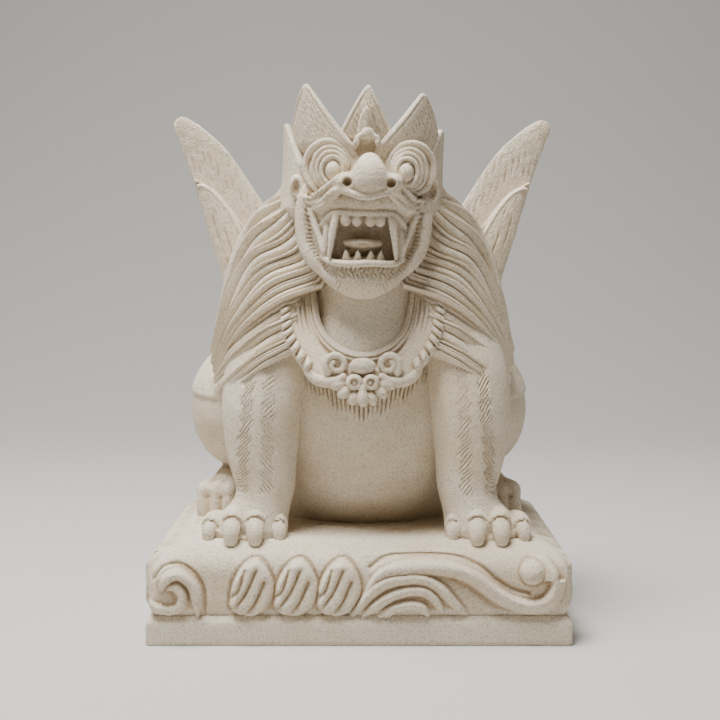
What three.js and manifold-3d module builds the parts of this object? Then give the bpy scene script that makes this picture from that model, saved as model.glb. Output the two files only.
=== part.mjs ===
// A seated winged temple lion (singha) with its plinth, carved from one block of soft limestone.
// The lion faces -Y, +X is on the viewer's right and +Z is up. The origin is the middle of the underside.
// The plinth is in millimetres. The lion is a free form: its places are hundredths of its own height,
// measured from the top of the plinth, so that it keeps its pose and proportions when its height changes.

import * as THREE from 'three';
import { LoftGeometry } from 'three/addons/geometries/LoftGeometry.js';
import { mergeVertices } from 'three/addons/utils/BufferGeometryUtils.js';
import Module from 'manifold-3d';

const wasm = await Module();
wasm.setup();

// Driving dimensions in millimetres

const plinthWidth = 380;
const plinthDepth = 300;
const slabHeight = 26;
const slabChamfer = 5;
const moundHeight = 64;
const moundInset = 2;
const cornerRadius = 16;
const figureHeight = 410;

// Carving of the plinth in millimetres

const reliefRise = 4;
const waveRadius = 5;
const lobeHeight = 46;
const lobeWidth = 36;
const lobePitch = 39;
const shoulderDrop = 28;
const shoulderStart = 0.5;
const footDrop = 6;
const ballRadius = 13.5;
const flutesPerLobe = 4;
const flutesLean = 14;
const flutesSink = 0.55;
const moundColumns = [6, 16, 20, 16, 2];
const moundShares = [-0.1, 0.12, 0.5, 0.82, 1];
const reliefRoot = 4;

// Frames: the lion's own frame, its forepart that sits a little to one side, its mane and collar that
// sit a little less far over, and its leaning head

const plinthTop = slabHeight + moundHeight;
const unit = figureHeight / 100;
const foreShift = 1.6;
const maneShift = 0.8;
const faceShift = 1;
const headLean = 0.026;
const neckHeight = 62;

const figureFrame = new THREE.Matrix4().makeTranslation(0, 0, plinthTop);
figureFrame.scale(new THREE.Vector3(unit, unit, unit));
const foreFrame = figureFrame.clone().multiply(new THREE.Matrix4().makeTranslation(foreShift, 0, 0));
const maneFrame = figureFrame.clone().multiply(new THREE.Matrix4().makeTranslation(maneShift, 0, 0));
const headFrame = maneFrame.clone();
headFrame.multiply(new THREE.Matrix4().makeTranslation(0, 0, neckHeight));
headFrame.multiply(new THREE.Matrix4().makeRotationY(headLean));
headFrame.multiply(new THREE.Matrix4().makeTranslation(0, 0, -neckHeight));
const blockFrame = new THREE.Matrix4();

// Solids and joins

function signedVolume(position, index) {
  let sum = 0;
  const [a, b, c] = [new THREE.Vector3(), new THREE.Vector3(), new THREE.Vector3()];
  for (let i = 0; i < index.length; i += 3) {
    a.fromBufferAttribute(position, index[i]);
    b.fromBufferAttribute(position, index[i + 1]);
    c.fromBufferAttribute(position, index[i + 2]);
    sum += a.dot(b.cross(c));
  }
  return sum / 6;
}

// A closed three.js geometry, placed by a frame, as a solid that can be joined and cut
function solid(geometry, frame) {
  const plain = new THREE.BufferGeometry().copy(geometry);
  plain.deleteAttribute('normal');
  plain.deleteAttribute('uv');
  const merged = mergeVertices(plain, 1e-5).applyMatrix4(frame);
  const triangles = [];
  const index = merged.index.array;
  for (let i = 0; i < index.length; i += 3) {
    const [a, b, c] = [index[i], index[i + 1], index[i + 2]];
    if (a !== b && b !== c && c !== a) triangles.push(a, b, c);
  }
  if (signedVolume(merged.attributes.position, triangles) < 0) triangles.reverse();
  return new wasm.Manifold(new wasm.Mesh({
    numProp: 3,
    vertProperties: new Float32Array(merged.attributes.position.array),
    triVerts: new Uint32Array(triangles),
  }));
}

function join(solids) {
  return solids.reduce((whole, next) => whole.add(next));
}

// A closed body through rings of points. Its ends shrink to their middle, or close along a seam
// in which every point of the ring meets its partner on the other face.
function loft(rings, frame, seam = false) {
  const close = (ring) => {
    const middle = new THREE.Vector3();
    for (const point of ring) middle.addScaledVector(point, 1 / ring.length);
    return ring.map((point, k) => {
      if (!seam) return middle;
      return point.clone().add(ring[ring.length - 1 - k]).multiplyScalar(0.5);
    });
  };
  return solid(new LoftGeometry([close(rings[0]), ...rings, close(rings.at(-1))]), frame);
}

// An ellipsoid at a centre with three radii, turned about Y by a lean in radians
function ball(centre, radii, frame, { around = 8, down = 5, lean = 0 } = {}) {
  const geometry = new THREE.SphereGeometry(1, around, down);
  geometry.rotateX(Math.PI / 2);
  geometry.scale(...radii);
  geometry.rotateY(lean);
  geometry.translate(...centre);
  return solid(geometry, frame);
}

// Rows of numbers blended along their length by a Catmull-Rom line, t from 0 to 1
function rowAt(rows, t) {
  const place = t * (rows.length - 1);
  const i = Math.min(Math.floor(place), rows.length - 2);
  const f = place - i;
  const before = rows[Math.max(i - 1, 0)];
  const after = rows[Math.min(i + 2, rows.length - 1)];
  return rows[i].map((p, k) => {
    const q = rows[i + 1][k];
    const slopeIn = (q - before[k]) / 2;
    const slopeOut = (after[k] - p) / 2;
    return p + f * (slopeIn + f * (3 * (q - p) - 2 * slopeIn - slopeOut
      + f * (2 * (p - q) + slopeIn + slopeOut)));
  });
}

// An oval section carried along rows of [x, y, z, half size along the hint, half size across it],
// with pointed ends. The hint is the direction in which the first half size is laid, and the twist
// turns the section's corners by a share of the angle between them.
function sweep(rows, frame, { sides = 6, steps = 6, hint = [1, 0, 0], twist = 0.5, point = 0.5 } = {}) {
  const hintAxis = new THREE.Vector3(...hint);
  const ringAt = (t, scale, slide) => {
    const [x, y, z, alongHint, acrossHint] = rowAt(rows, t);
    const ahead = rowAt(rows, Math.min(t + 0.01, 1));
    const behind = rowAt(rows, Math.max(t - 0.01, 0));
    const tangent = new THREE.Vector3(ahead[0] - behind[0], ahead[1] - behind[1], ahead[2] - behind[2]);
    tangent.normalize();
    const first = hintAxis.clone().addScaledVector(tangent, -hintAxis.dot(tangent)).normalize();
    const second = tangent.clone().cross(first);
    const middle = new THREE.Vector3(x, y, z);
    middle.addScaledVector(tangent, slide * Math.min(alongHint, acrossHint));
    return Array.from({ length: sides }, (_, k) => {
      const angle = 2 * Math.PI * (k + twist) / sides;
      const corner = middle.clone().addScaledVector(first, scale * alongHint * Math.cos(angle));
      return corner.addScaledVector(second, scale * acrossHint * Math.sin(angle));
    });
  };
  const rings = Array.from({ length: steps + 1 }, (_, i) => ringAt(i / steps, 1, 0));
  return solid(new LoftGeometry([ringAt(0, 0, -point), ...rings, ringAt(1, 0, point)]), frame);
}

// The same rows on one flank, side -1 or 1
const onSide = (rows, side) => rows.map(([x, ...rest]) => [side * x, ...rest]);

// A sheet between an outer and an inner edge, both rows of [x, y, z], thick at its root, with ribs
// that run along it. The front and the back carry the same ribs.
function blade(outer, inner, frame, { thick = [3, 1.4], ribs = 3, rise = 0.5, steps = 8 } = {}) {
  const sections = [];
  const across = 2 * ribs;
  for (let i = 0; i <= steps; i++) {
    const t = i / steps;
    const [a, b] = [new THREE.Vector3(...rowAt(outer, t)), new THREE.Vector3(...rowAt(inner, t))];
    const half = THREE.MathUtils.lerp(thick[0], thick[1], t) / 2;
    const narrow = Math.min(1, a.distanceTo(b) / 4);
    const front = [];
    const back = [];
    for (let j = 0; j <= across; j++) {
      const s = j / across;
      const lens = 0.45 + 0.55 * Math.sin(Math.PI * s);
      const ridge = (j % 2 === 1 ? rise : 0) * narrow;
      const point = a.clone().lerp(b, s);
      front.push(point.clone().add(new THREE.Vector3(0, -half * lens - ridge, 0)));
      back.push(point.clone().add(new THREE.Vector3(0, half * lens + ridge, 0)));
    }
    sections.push([...front, ...back.reverse()]);
  }
  return loft(sections, frame, true);
}

// Plinth: a plain slab with a chamfered top edge, and a swelling mound of cloud on it

// A rounded rectangle of half sizes a and b at height z, counterclockwise from the front left corner.
// The columns are the numbers of strips along the front, right, back and left walls and a corner.
function roundedRing(a, b, radius, z, columns, shape = (along) => [along, 0]) {
  const walls = [
    [0, a, b, columns[0]], [0.5, b, a, columns[1]], [1, a, b, columns[2]], [1.5, b, a, columns[3]],
  ];
  const ring = [];
  walls.forEach(([turn, half, reach, strips], wall) => {
    const axis = new THREE.Vector3(0, 0, 1);
    const straight = half - radius;
    for (let k = 0; k <= strips; k++) {
      const [along, rise] = shape(straight * (2 * k / strips - 1), k, wall, straight);
      ring.push(new THREE.Vector3(along, -reach - rise, z).applyAxisAngle(axis, turn * Math.PI));
    }
    for (let k = 1; k < columns[4]; k++) {
      const angle = 0.5 * Math.PI * (k / columns[4] - 1);
      const corner = [straight + radius * Math.cos(angle), -reach + radius + radius * Math.sin(angle)];
      ring.push(new THREE.Vector3(...corner, z).applyAxisAngle(axis, turn * Math.PI));
    }
  });
  return ring;
}

// How far the mound's wall stands inside the slab at a share of the mound's height
const moundDrop = (share) => moundInset
  + shoulderDrop * Math.pow(Math.max(share - shoulderStart, 0) / (1 - shoulderStart), 3.2)
  + footDrop * Math.pow(1 - Math.min(share / 0.3, 1), 2);

// Leaning fluted lobes round the sides and the back: every second column is a crest, and the lobes'
// heads are round. The front stays plain for its own relief.
function flutes(share) {
  return (along, column, wall, straight) => {
    if (wall === 0) return [along, 0];
    const calm = 1 - Math.pow(along / straight, 4);
    const lobePlace = (column % flutesPerLobe) / flutesPerLobe;
    const head = 0.62 + 0.3 * Math.sin(Math.PI * lobePlace);
    const swell = Math.sqrt(Math.max(0, 1 - Math.pow(Math.abs(share - 0.45) / head, 2)));
    const crest = column % 2 === 1 ? 1 : (column % flutesPerLobe === 0 ? -0.6 : 0.1);
    const rise = reliefRise * swell * (crest - flutesSink);
    return [along + calm * flutesLean * (share - 0.5), calm * rise];
  };
}

function plinth() {
  const [a, b] = [plinthWidth / 2, plinthDepth / 2];
  const slabColumns = [1, 1, 1, 1, 2];
  const slab = [
    roundedRing(a, b, cornerRadius / 4, 0, slabColumns),
    roundedRing(a, b, cornerRadius / 4, slabHeight - slabChamfer, slabColumns),
    roundedRing(a - slabChamfer, b - slabChamfer, cornerRadius / 4, slabHeight, slabColumns),
  ];
  const mound = moundShares.map((share) => {
    const drop = moundDrop(Math.max(share, 0));
    const radius = cornerRadius * (1 + Math.max(share, 0));
    const z = slabHeight + share * moundHeight;
    return roundedRing(a - drop, b - drop, radius, z, moundColumns, flutes(share));
  });
  return join([loft(slab, blockFrame), loft(mound, blockFrame)]);
}

// Plinth relief: clouds and a wave on the front wall, in the wall's own frame

const frontWall = new THREE.Matrix4().makeTranslation(0, -plinthDepth / 2, 0);

// Depth of the mound's wall behind the wall frame at height z, straight between the mound's rings
function wallDepth(z) {
  const share = THREE.MathUtils.clamp((z - slabHeight) / moundHeight, 0, 0.999);
  const i = moundShares.findIndex((next) => next > share);
  const f = (share - moundShares[i - 1]) / (moundShares[i] - moundShares[i - 1]);
  return THREE.MathUtils.lerp(moundDrop(Math.max(moundShares[i - 1], 0)), moundDrop(moundShares[i]), f);
}

// A raised ridge that follows [along, height, half width] rows on the wall
function ridge(rows, steps) {
  const depth = reliefRise + reliefRoot;
  const path = rows.map(([x, z, half]) => [
    x, wallDepth(slabHeight + z) + reliefRoot, slabHeight + z, depth, half * depth / reliefRise,
  ]);
  return sweep(path, frontWall, { sides: 4, steps, hint: [0, 1, 0], twist: 0 });
}

// A cloud lobe: three slanting fluted tongues, side by side
function lobe(x) {
  const tongues = [];
  for (let k = -1; k <= 1; k++) {
    const foot = x + lobeWidth * (0.15 * k - 0.2);
    const head = x + lobeWidth * (0.26 * k + 0.12);
    const top = lobeHeight * (k === 0 ? 1 : 0.88);
    tongues.push(ridge([
      [foot, 0.1 * moundHeight, lobeWidth * 0.12],
      [(foot + head) / 2 - 0.06 * lobeWidth, top * 0.55, lobeWidth * 0.18],
      [head, top, lobeWidth * 0.11],
    ], 2));
  }
  return join(tongues);
}

// A scroll that winds inward from its radius
function curl(x, z, radius, turns, start) {
  const rows = [];
  const count = 8;
  for (let i = 0; i <= count; i++) {
    const t = i / count;
    const angle = start + turns * 2 * Math.PI * t;
    const reach = radius * (1 - 0.72 * t);
    rows.push([x + reach * Math.cos(angle), z + reach * Math.sin(angle), waveRadius * (1 - 0.35 * t)]);
  }
  return ridge(rows, count);
}

function frontRelief() {
  const half = plinthWidth / 2;
  const h = moundHeight;
  const greatWave = [
    [0.05 * half, 0.2 * h, 3], [0.13 * half, 0.52 * h, waveRadius], [0.3 * half, 0.7 * h, waveRadius],
    [0.46 * half, 0.66 * h, waveRadius], [0.6 * half, 0.44 * h, waveRadius],
    [0.73 * half, 0.21 * h, waveRadius], [0.86 * half, 0.2 * h, waveRadius],
    [0.93 * half, 0.42 * h, waveRadius], [0.9 * half, 0.6 * h, 4], [0.85 * half, 0.53 * h, 3],
  ];
  const innerWave = [
    [0.0, 0.06 * h, 3], [0.11 * half, 0.34 * h, waveRadius], [0.27 * half, 0.5 * h, waveRadius],
    [0.42 * half, 0.32 * h, 4], [0.55 * half, 0.08 * h, 3],
  ];
  const lowWave = [
    [0.1 * half, 0.05 * h, 3], [0.25 * half, 0.24 * h, 4], [0.38 * half, 0.08 * h, 3],
  ];
  const parts = [
    curl(-0.86 * half, 0.4 * h, 0.33 * h, 0.95, -0.1 * Math.PI),
    ridge(greatWave, 10),
    ridge(innerWave, 5),
    ridge(lowWave, 3),
    ball([0.81 * half, wallDepth(slabHeight + 0.6 * h) - 1, slabHeight + 0.6 * h],
      [ballRadius, reliefRise + 1, 0.67 * ballRadius], frontWall),
  ];
  for (let k = 0; k < 3; k++) parts.push(lobe(-0.5 * half + k * lobePitch));
  return join(parts);
}

// Body: the belly and chest, the neck, the legs and the haunches

function trunk() {
  const chest = [
    [0, 15, -3, 24, 15], [0, 9, 8, 25, 20.5], [0, 3, 20, 26, 25], [0, -3, 32, 25, 25],
    [0, -6, 42, 22, 20], [0, -7, 50, 16, 14], [0, -8, 56, 9, 9],
  ];
  const neck = [[0, -6, 38, 11, 12], [0, -11.5, 50, 10.4, 11], [0, -12, 60, 12, 12], [0, -12, 70, 12, 11]];
  return join([
    sweep(chest, foreFrame, { sides: 14, steps: 6 }),
    sweep(neck, foreFrame, { sides: 8, steps: 2 }),
  ]);
}

// A toe is a bent knuckle that ends in a blunt claw
function toe(x, y, turn, size, frame) {
  const [dx, dy] = [Math.sin(turn), -Math.cos(turn)];
  const at = (far, z, r) => [x + dx * far, y + dy * far, z, r, r];
  return sweep([
    at(-3 * size, 3, 2 * size), at(0.6 * size, 3.2, 2.15 * size), at(2.8 * size, 2.1, 1.4 * size),
    at(4.2 * size, 0.2, 0.5 * size),
  ], frame, { sides: 4, steps: 2, twist: 0 });
}

// A foreleg is a stout column with a paw of four toes
function foreleg(side) {
  const rows = [
    [16, -8, 48, 11, 12], [21, -14, 38, 10.5, 12], [23, -18.5, 29, 9.6, 10], [23.4, -19.6, 19, 8.2, 8.6],
    [22.8, -20.4, 11, 6.8, 7.4], [23.6, -21.4, 6, 6.4, 7], [25.2, -23, 1, 8, 7.4],
  ];
  const parts = [
    sweep(onSide(rows, side), foreFrame, { sides: 8, steps: 6 }),
    ball([side * 26.8, -25, 1.6], [9, 6.4, 4], foreFrame, { around: 8, down: 3 }),
  ];
  for (let k = 0; k < 4; k++) {
    const fan = k - 1.5;
    const reach = -28.2 + 0.75 * fan * fan;
    const size = Math.abs(fan) > 1 ? 0.92 : 1.05;
    parts.push(toe(side * (27.2 + 4.9 * fan), reach, side * 0.13 * fan, size, foreFrame));
  }
  return join(parts);
}

// A hind leg is a round thigh, leaning in at the top, on a long foot with three toes
function hindleg(side) {
  const thigh = { around: 10, down: 7, lean: side * -0.1 };
  const foot = [[26, 27, 5, 7, 6.4], [29.6, 15, 5.6, 8, 6.4], [33.4, 1, 5, 6.4, 5]];
  const parts = [
    ball([side * 28.8, 11, 25.4], [12.3, 17.5, 15.3], figureFrame, thigh),
    sweep(onSide(foot, side), figureFrame, { sides: 7, steps: 2 }),
  ];
  for (let k = 0; k < 3; k++) {
    parts.push(toe(side * (28.3 + 3.9 * k), -3.6 + 1.1 * k, side * (0.1 + 0.2 * k), 0.92, figureFrame));
  }
  return join(parts);
}

// Mane: locks of hair over the shoulders and the back. Guides run from the face to the ends of the
// hair, the first one down the middle of the back, the last one along the lower edge in front.
// A lock is a crest between two grooves, and its line waves a little.

const upperGuides = [
  [[0, 2, 82], [0, 12, 74], [0, 19, 60], [0, 22, 44]],
  [[9, 1, 82], [11, 11, 74], [13, 18.5, 60], [13, 21, 43]],
  [[16, -6, 79], [21.6, 4, 71], [25.6, 11, 58], [26.6, 13, 42]],
  [[17, -12, 75], [23.8, -7, 70.5], [30.2, 0, 59], [33.3, 3, 43]],
  [[16, -16.5, 70], [23.4, -14.5, 65], [30.2, -9.5, 54], [34.6, -3, 40]],
  [[14, -19, 63], [22, -19.5, 58], [29.8, -15.5, 48.5], [34.4, -7, 36]],
  [[9, -21.5, 55], [18, -23.5, 51.5], [27.2, -20.5, 44.5], [33.6, -10, 34]],
];
const lowerGuides = [
  [[14, -21, 52], [20, -22, 49], [28, -18, 43], [34.2, -7, 36]],
  [[14.5, -24, 47], [21, -25, 43.5], [28.6, -21.5, 38], [34.2, -10, 32]],
  [[15, -26.5, 41.5], [21.5, -27, 38], [28.2, -24.5, 32.5], [32.8, -14, 27.5]],
];

// Points across the hair at a share u of its length: every second one is a crest
function locksAt(guides, u, locks, rise) {
  const lines = guides.map((guide) => new THREE.CatmullRomCurve3(guide.map((p) => new THREE.Vector3(...p))));
  const surface = (s, v) => new THREE.CatmullRomCurve3(lines.map((line) => line.getPoint(s))).getPoint(v);
  return Array.from({ length: 2 * locks + 1 }, (_, j) => {
    const wave = 0.35 * Math.sin(2.2 * Math.PI * u + 0.9) * Math.sin(Math.PI * j / (2 * locks));
    const v = THREE.MathUtils.clamp((j + wave) / (2 * locks), 0, 1);
    const alongLock = surface(Math.min(u + 0.02, 1), v).sub(surface(Math.max(u - 0.02, 0), v));
    const acrossLock = surface(u, Math.min(v + 0.02, 1)).sub(surface(u, Math.max(v - 0.02, 0)));
    const outward = acrossLock.cross(alongLock).normalize();
    return surface(u, v).addScaledVector(outward, j % 2 === 1 ? rise : 0);
  });
}

const flip = (points) => points.map((p) => new THREE.Vector3(-p.x, p.y, p.z));

function mane() {
  const steps = 4;
  const upper = Array.from({ length: steps + 1 }, (_, i) => {
    const right = locksAt(upperGuides, i / steps, 9, 1.7);
    const insideNeck = new THREE.Vector3(7, -8, right.at(-1).z);
    right.push(insideNeck);
    return [...flip(right).reverse(), ...right.slice(1)];
  });
  const parts = [loft(upper, maneFrame)];
  const lower = Array.from({ length: steps }, (_, i) => {
    const hair = locksAt(lowerGuides, i / (steps - 1), 4, 1.4);
    const backing = [hair.at(-1), hair[0]].map((p) => p.clone().multiply(new THREE.Vector3(0.6, 0.6, 0.94)));
    return [...hair, ...backing];
  });
  parts.push(loft(lower, maneFrame), loft(lower.map(flip), maneFrame));
  return join(parts);
}

// Collar: a wide bib round the neck, with a rolled inner edge, scrolls and a pendant

const bibInner = [[11.5, -12, 55], [11, -19, 50], [8.5, -24.2, 44.5], [4.6, -27, 41.2], [0, -27.8, 40.2]];
const bibOuter = [[19, -13, 52], [17.6, -21.6, 46], [14.2, -26.6, 39.4], [8, -29.4, 34.9], [0, -30.4, 33.5]];

const mirrored = (rows) => [
  ...rows.map(([x, ...rest]) => [-x, ...rest]),
  ...rows.slice(0, -1).reverse(),
];

// The bib is one sheet: a rolled inner edge, a plain field and a scalloped outer edge
function collar() {
  const inner = mirrored(bibInner);
  const outer = mirrored(bibOuter);
  const scallops = 9;
  const rings = [];
  for (let i = 0; i <= 2 * scallops; i++) {
    const t = i / (2 * scallops);
    const [a, b] = [new THREE.Vector3(...rowAt(inner, t)), new THREE.Vector3(...rowAt(outer, t))];
    const scallop = i % 2 === 1 ? 1 : 0;
    const profile = [[-0.1, 0.2], [0, 1.4], [0.14, 0.5], [0.74, 0.5], [0.86, 0.7 + 0.9 * scallop],
      [1 + 0.07 * scallop, 0.3], [1, -5], [0, -5]];
    rings.push(profile.map(([s, proud]) => a.clone().lerp(b, s).add(new THREE.Vector3(0, -proud, 0))));
  }
  const bead = (x, y, z, radii) => ball([x, y, z], radii, maneFrame, { around: 6, down: 3 });
  const parts = [
    loft(rings, maneFrame),
    bead(0, -29.4, 38.2, [2.4, 1.6, 1.5]),
    bead(0, -31.2, 31.8, [2.3, 1.3, 2.1]),
  ];
  for (const side of [-1, 1]) {
    parts.push(bead(side * 5.7, -28.6, 38.6, [2.1, 1.5, 2]));
    parts.push(bead(side * 2.1, -30.4, 34.8, [1.8, 1.4, 1.7]));
  }
  return join(parts);
}

// Head: skull, jaws, eyes, nose, teeth, tongue and ears

// Rings of [height, half width, front reach, back reach], round a middle at depth -12
const headRings = [
  [54, 4.5, -27.5, -12], [56.4, 7.8, -30.2, -8], [60, 10.8, -31.8, -5], [66, 13.6, -31.6, -3],
  [73, 14.6, -31.6, -1], [79, 14.4, -29, 0], [85, 13.6, -25.4, 1], [90, 9, -21, -2],
];

function skull() {
  const around = 11;
  const rings = headRings.map(([z, half, front, back]) => Array.from({ length: around }, (_, k) => {
    const angle = 2 * Math.PI * (k + 0.5) / around;
    const reach = Math.cos(angle) > 0 ? -12 - front : back + 12;
    return new THREE.Vector3(half * Math.sin(angle), -12 - reach * Math.cos(angle), z);
  }));
  const jawRing = [
    [13.4, -21, 77, 2.6, 1.8], [14.2, -21.5, 69, 2.8, 1.8], [11.4, -23.6, 60.6, 3, 1.9],
    [6.4, -26.2, 56.2, 3.2, 2], [0, -27.4, 55, 3.2, 2],
  ];
  return join([
    loft(rings, headFrame),
    sweep(mirrored(jawRing), headFrame, { sides: 4, steps: 8, hint: [0, 1, 0] }),
  ]);
}

// The open mouth: a throat between the fangs and a hollow in each cheek
function mouthHollow() {
  const throat = [[0, -38, 66.6, 7.6, 5.2], [0, -30, 66.8, 7.4, 5.2], [0, -22, 67, 6.4, 4.6]];
  const cheekHollows = [-1, 1].map((side) => ball(
    [side * 9.4, -28.6, 67.4], [2.9, 5, 4.6], headFrame, { around: 6, down: 4, lean: side * 0.35 },
  ));
  return join([sweep(throat, headFrame, { sides: 8, steps: 1 }), ...cheekHollows]);
}

// An eye is a domed disc with two raised rings, turned on a lathe and made oval
function eye(side) {
  const profile = [[0, 3.4], [2.4, 2.7], [3.1, 1.5], [4.2, 1.9], [5.7, 0], [0, -3]];
  const geometry = new THREE.LatheGeometry(profile.map((p) => new THREE.Vector2(...p)), 9);
  geometry.rotateX(Math.PI / 2);
  geometry.rotateX(Math.PI);
  geometry.scale(1, 1, 1.16);
  geometry.rotateZ(side * 0.24);
  geometry.translate(faceShift + side * 8.2, -24.8, 81.4);
  return solid(geometry, headFrame);
}

// The nose is a pear with two wings, and a fold runs from each wing to the cheek
function nose() {
  const bulb = [
    [faceShift, -27, 83.8, 2.6, 2.2], [faceShift, -31.4, 82.8, 2.8, 2.4],
    [faceShift, -33.8, 79.4, 3.8, 3], [faceShift, -32.6, 76.2, 3.4, 1.8],
  ];
  const parts = [sweep(bulb, headFrame, { sides: 6, steps: 3, point: 0.3 })];
  for (const side of [-1, 1]) {
    const wing = [faceShift + side * 4.7, -32, 78];
    parts.push(ball(wing, [2.5, 2.6, 2.2], headFrame, { around: 6, down: 3 }));
    const fold = [[4, -31.8, 79.8, 1.1, 0.9], [7.8, -29.6, 79.2, 1.1, 0.9], [12, -25, 76.6, 0.9, 0.8]];
    parts.push(sweep(onSide(fold, side), headFrame, { sides: 4, steps: 2, hint: [0, 1, 0], twist: 0 }));
  }
  return join(parts);
}

const nostrils = () => join([-1, 1].map((side) => ball(
  [faceShift + side * 4.6, -34.6, 77.9], [0.95, 1.6, 0.9], headFrame, { around: 5, down: 3 },
)));

// Lips, tongue, four peg teeth over four pointed ones, a fang and a cheek fold on each side
function lipsAndTeeth() {
  const upperLip = [
    [12.8, -24.8, 72.4, 1.5, 1.2], [9.8, -28.4, 74.2, 1.7, 1.5], [6.6, -31.4, 75.6, 1.9, 1.6],
    [3, -33.4, 74.8, 2, 1.7], [0, -33.8, 74, 2, 1.7],
  ];
  const lowerLip = [
    [12, -24.4, 63, 1.1, 0.8], [8.6, -29.6, 61.4, 1.2, 0.9],
    [4, -33, 61, 1.2, 0.9], [0, -33.8, 61, 1.2, 0.9],
  ];
  const tongue = [[0, -20, 62, 4, 2], [0, -26, 64, 4.3, 1.3], [0, -31, 65, 4.1, 0.9]];
  const parts = [
    sweep(mirrored(upperLip), headFrame, { sides: 4, steps: 8, hint: [0, 1, 0] }),
    sweep(mirrored(lowerLip), headFrame, { sides: 4, steps: 6, hint: [0, 1, 0] }),
    sweep(tongue, headFrame, { sides: 6, steps: 2 }),
  ];
  for (const x of [-4.1, -1.4, 1.4, 4.1]) {
    const peg = [[x, -32, 74, 1.4, 1.4], [x, -32, 70.2, 1.25, 1.25]];
    parts.push(sweep(peg, headFrame, { sides: 4, steps: 1 }));
    const spike = [[x * 1.05, -31.6, 60.4, 1, 1], [x * 1.05, -31.8, 62.4, 0.8, 0.8]];
    parts.push(sweep(spike, headFrame, { sides: 3, steps: 1, point: 2 }));
  }
  for (const side of [-1, 1]) {
    const fang = [[6.3, -31, 74, 1.3, 1.3], [6.9, -31.6, 69, 1.1, 1.1], [7, -31.8, 61.8, 0.5, 0.5]];
    parts.push(sweep(onSide(fang, side), headFrame, { sides: 4, steps: 2 }));
    const cheekFold = [[11.8, -26, 72, 0.9, 0.9], [9.8, -27.4, 67, 0.8, 0.8], [8, -29.4, 61.4, 0.9, 0.9]];
    parts.push(sweep(onSide(cheekFold, side), headFrame, { sides: 3, steps: 2 }));
  }
  return join(parts);
}

// The brows spring from a knob over the nose and run round the eyes
function browsAndEars() {
  const brow = [
    [1.6, -26.4, 84.8, 1.3, 1], [4.6, -26.2, 87.6, 1.5, 1.2], [9, -25.4, 88.9, 1.5, 1.2],
    [13, -22.4, 86.4, 1.4, 1.1], [14.3, -20.6, 81.4, 1.2, 0.9], [13.8, -20.8, 77.2, 1, 0.8],
  ];
  const parts = [ball([0, -27, 87.8], [2.3, 1.6, 2.2], headFrame, { around: 5, down: 3 })];
  for (const side of [-1, 1]) {
    const ear = { around: 6, down: 3, lean: side * 0.2 };
    parts.push(sweep(onSide(brow, side), headFrame, { sides: 4, steps: 4, hint: [0, 1, 0], twist: 0 }));
    parts.push(ball([side * 16, -15, 78.4], [2.3, 2.6, 3.6], headFrame, ear));
  }
  return join(parts);
}

// Crown: pointed leaves all round the skull, the front ones tallest and the side ones blunt

const crownMiddle = -10;

// A leaf at an angle round the crown. It is halfWidth wide each way at the height where the leaves meet
// and narrows to its tip. A top below 1 leaves it blunt, and its face bends back towards its edges.
function crownLeaf(degrees, { halfWidth, tip, meeting, foot, reach, top = 1, steps = 3 }) {
  const [sin, cos] = [Math.sin(degrees * Math.PI / 180), Math.cos(degrees * Math.PI / 180)];
  const place = (across, out, z) => {
    const [x, y] = [out * sin + across * cos, crownMiddle - out * cos + across * sin];
    return new THREE.Vector3(x, y, z);
  };
  const last = top < 1 ? top : steps / (steps + 0.35);
  const rings = Array.from({ length: steps + 1 }, (_, i) => {
    const t = last * i / steps;
    const z = THREE.MathUtils.lerp(foot, tip, t);
    const wide = halfWidth * Math.min(1.2, Math.pow((tip - z) / (tip - meeting), 0.85)) + 0.25;
    const thick = THREE.MathUtils.lerp(3.4, 1, t);
    const out = reach + 1.4 * Math.sin(Math.PI * t * 0.8);
    const hollow = 0.035 * wide * wide;
    const rib = 0.8 * Math.min(1, wide / 3);
    return [
      place(-wide, out - hollow - 0.4, z), place(0, out + rib, z),
      place(wide, out - hollow - 0.4, z), place(0, out - thick, z),
    ];
  });
  const end = place(0, reach, THREE.MathUtils.lerp(foot, tip, top));
  const start = place(0, reach, foot - 1);
  const closed = [rings[0].map(() => start), ...rings, rings[0].map(() => end)];
  return solid(new LoftGeometry(closed), headFrame);
}

function crown() {
  const parts = [
    crownLeaf(0, { halfWidth: 5.6, tip: 99.8, meeting: 90, foot: 85, reach: 15.2 }),
    crownLeaf(180, { halfWidth: 6.6, tip: 92, meeting: 86, foot: 76, reach: 15, steps: 2 }),
  ];
  for (const side of [-1, 1]) {
    const front = { halfWidth: 7.6, tip: 99.4, meeting: 90, foot: 79, reach: 16.2 };
    const bluntReach = 17.1 - 0.7 * side;
    const blunt = { halfWidth: 7, tip: 102, meeting: 90, foot: 74, reach: bluntReach, top: 0.6, steps: 2 };
    const rear = { halfWidth: 7.2, tip: 91.6, meeting: 85, foot: 76, reach: 16.2, steps: 2 };
    parts.push(crownLeaf(side * 45, front), crownLeaf(side * 74, blunt), crownLeaf(side * 132, rear));
  }
  return join(parts);
}

// Wings: a long blade of pinions, with a shorter blade of coverts on each face. The right one stands
// a little further out and lower than the left one.

const rightWingFrame = figureFrame.clone().multiply(new THREE.Matrix4().makeTranslation(1.4, 0, -0.8));

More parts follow.
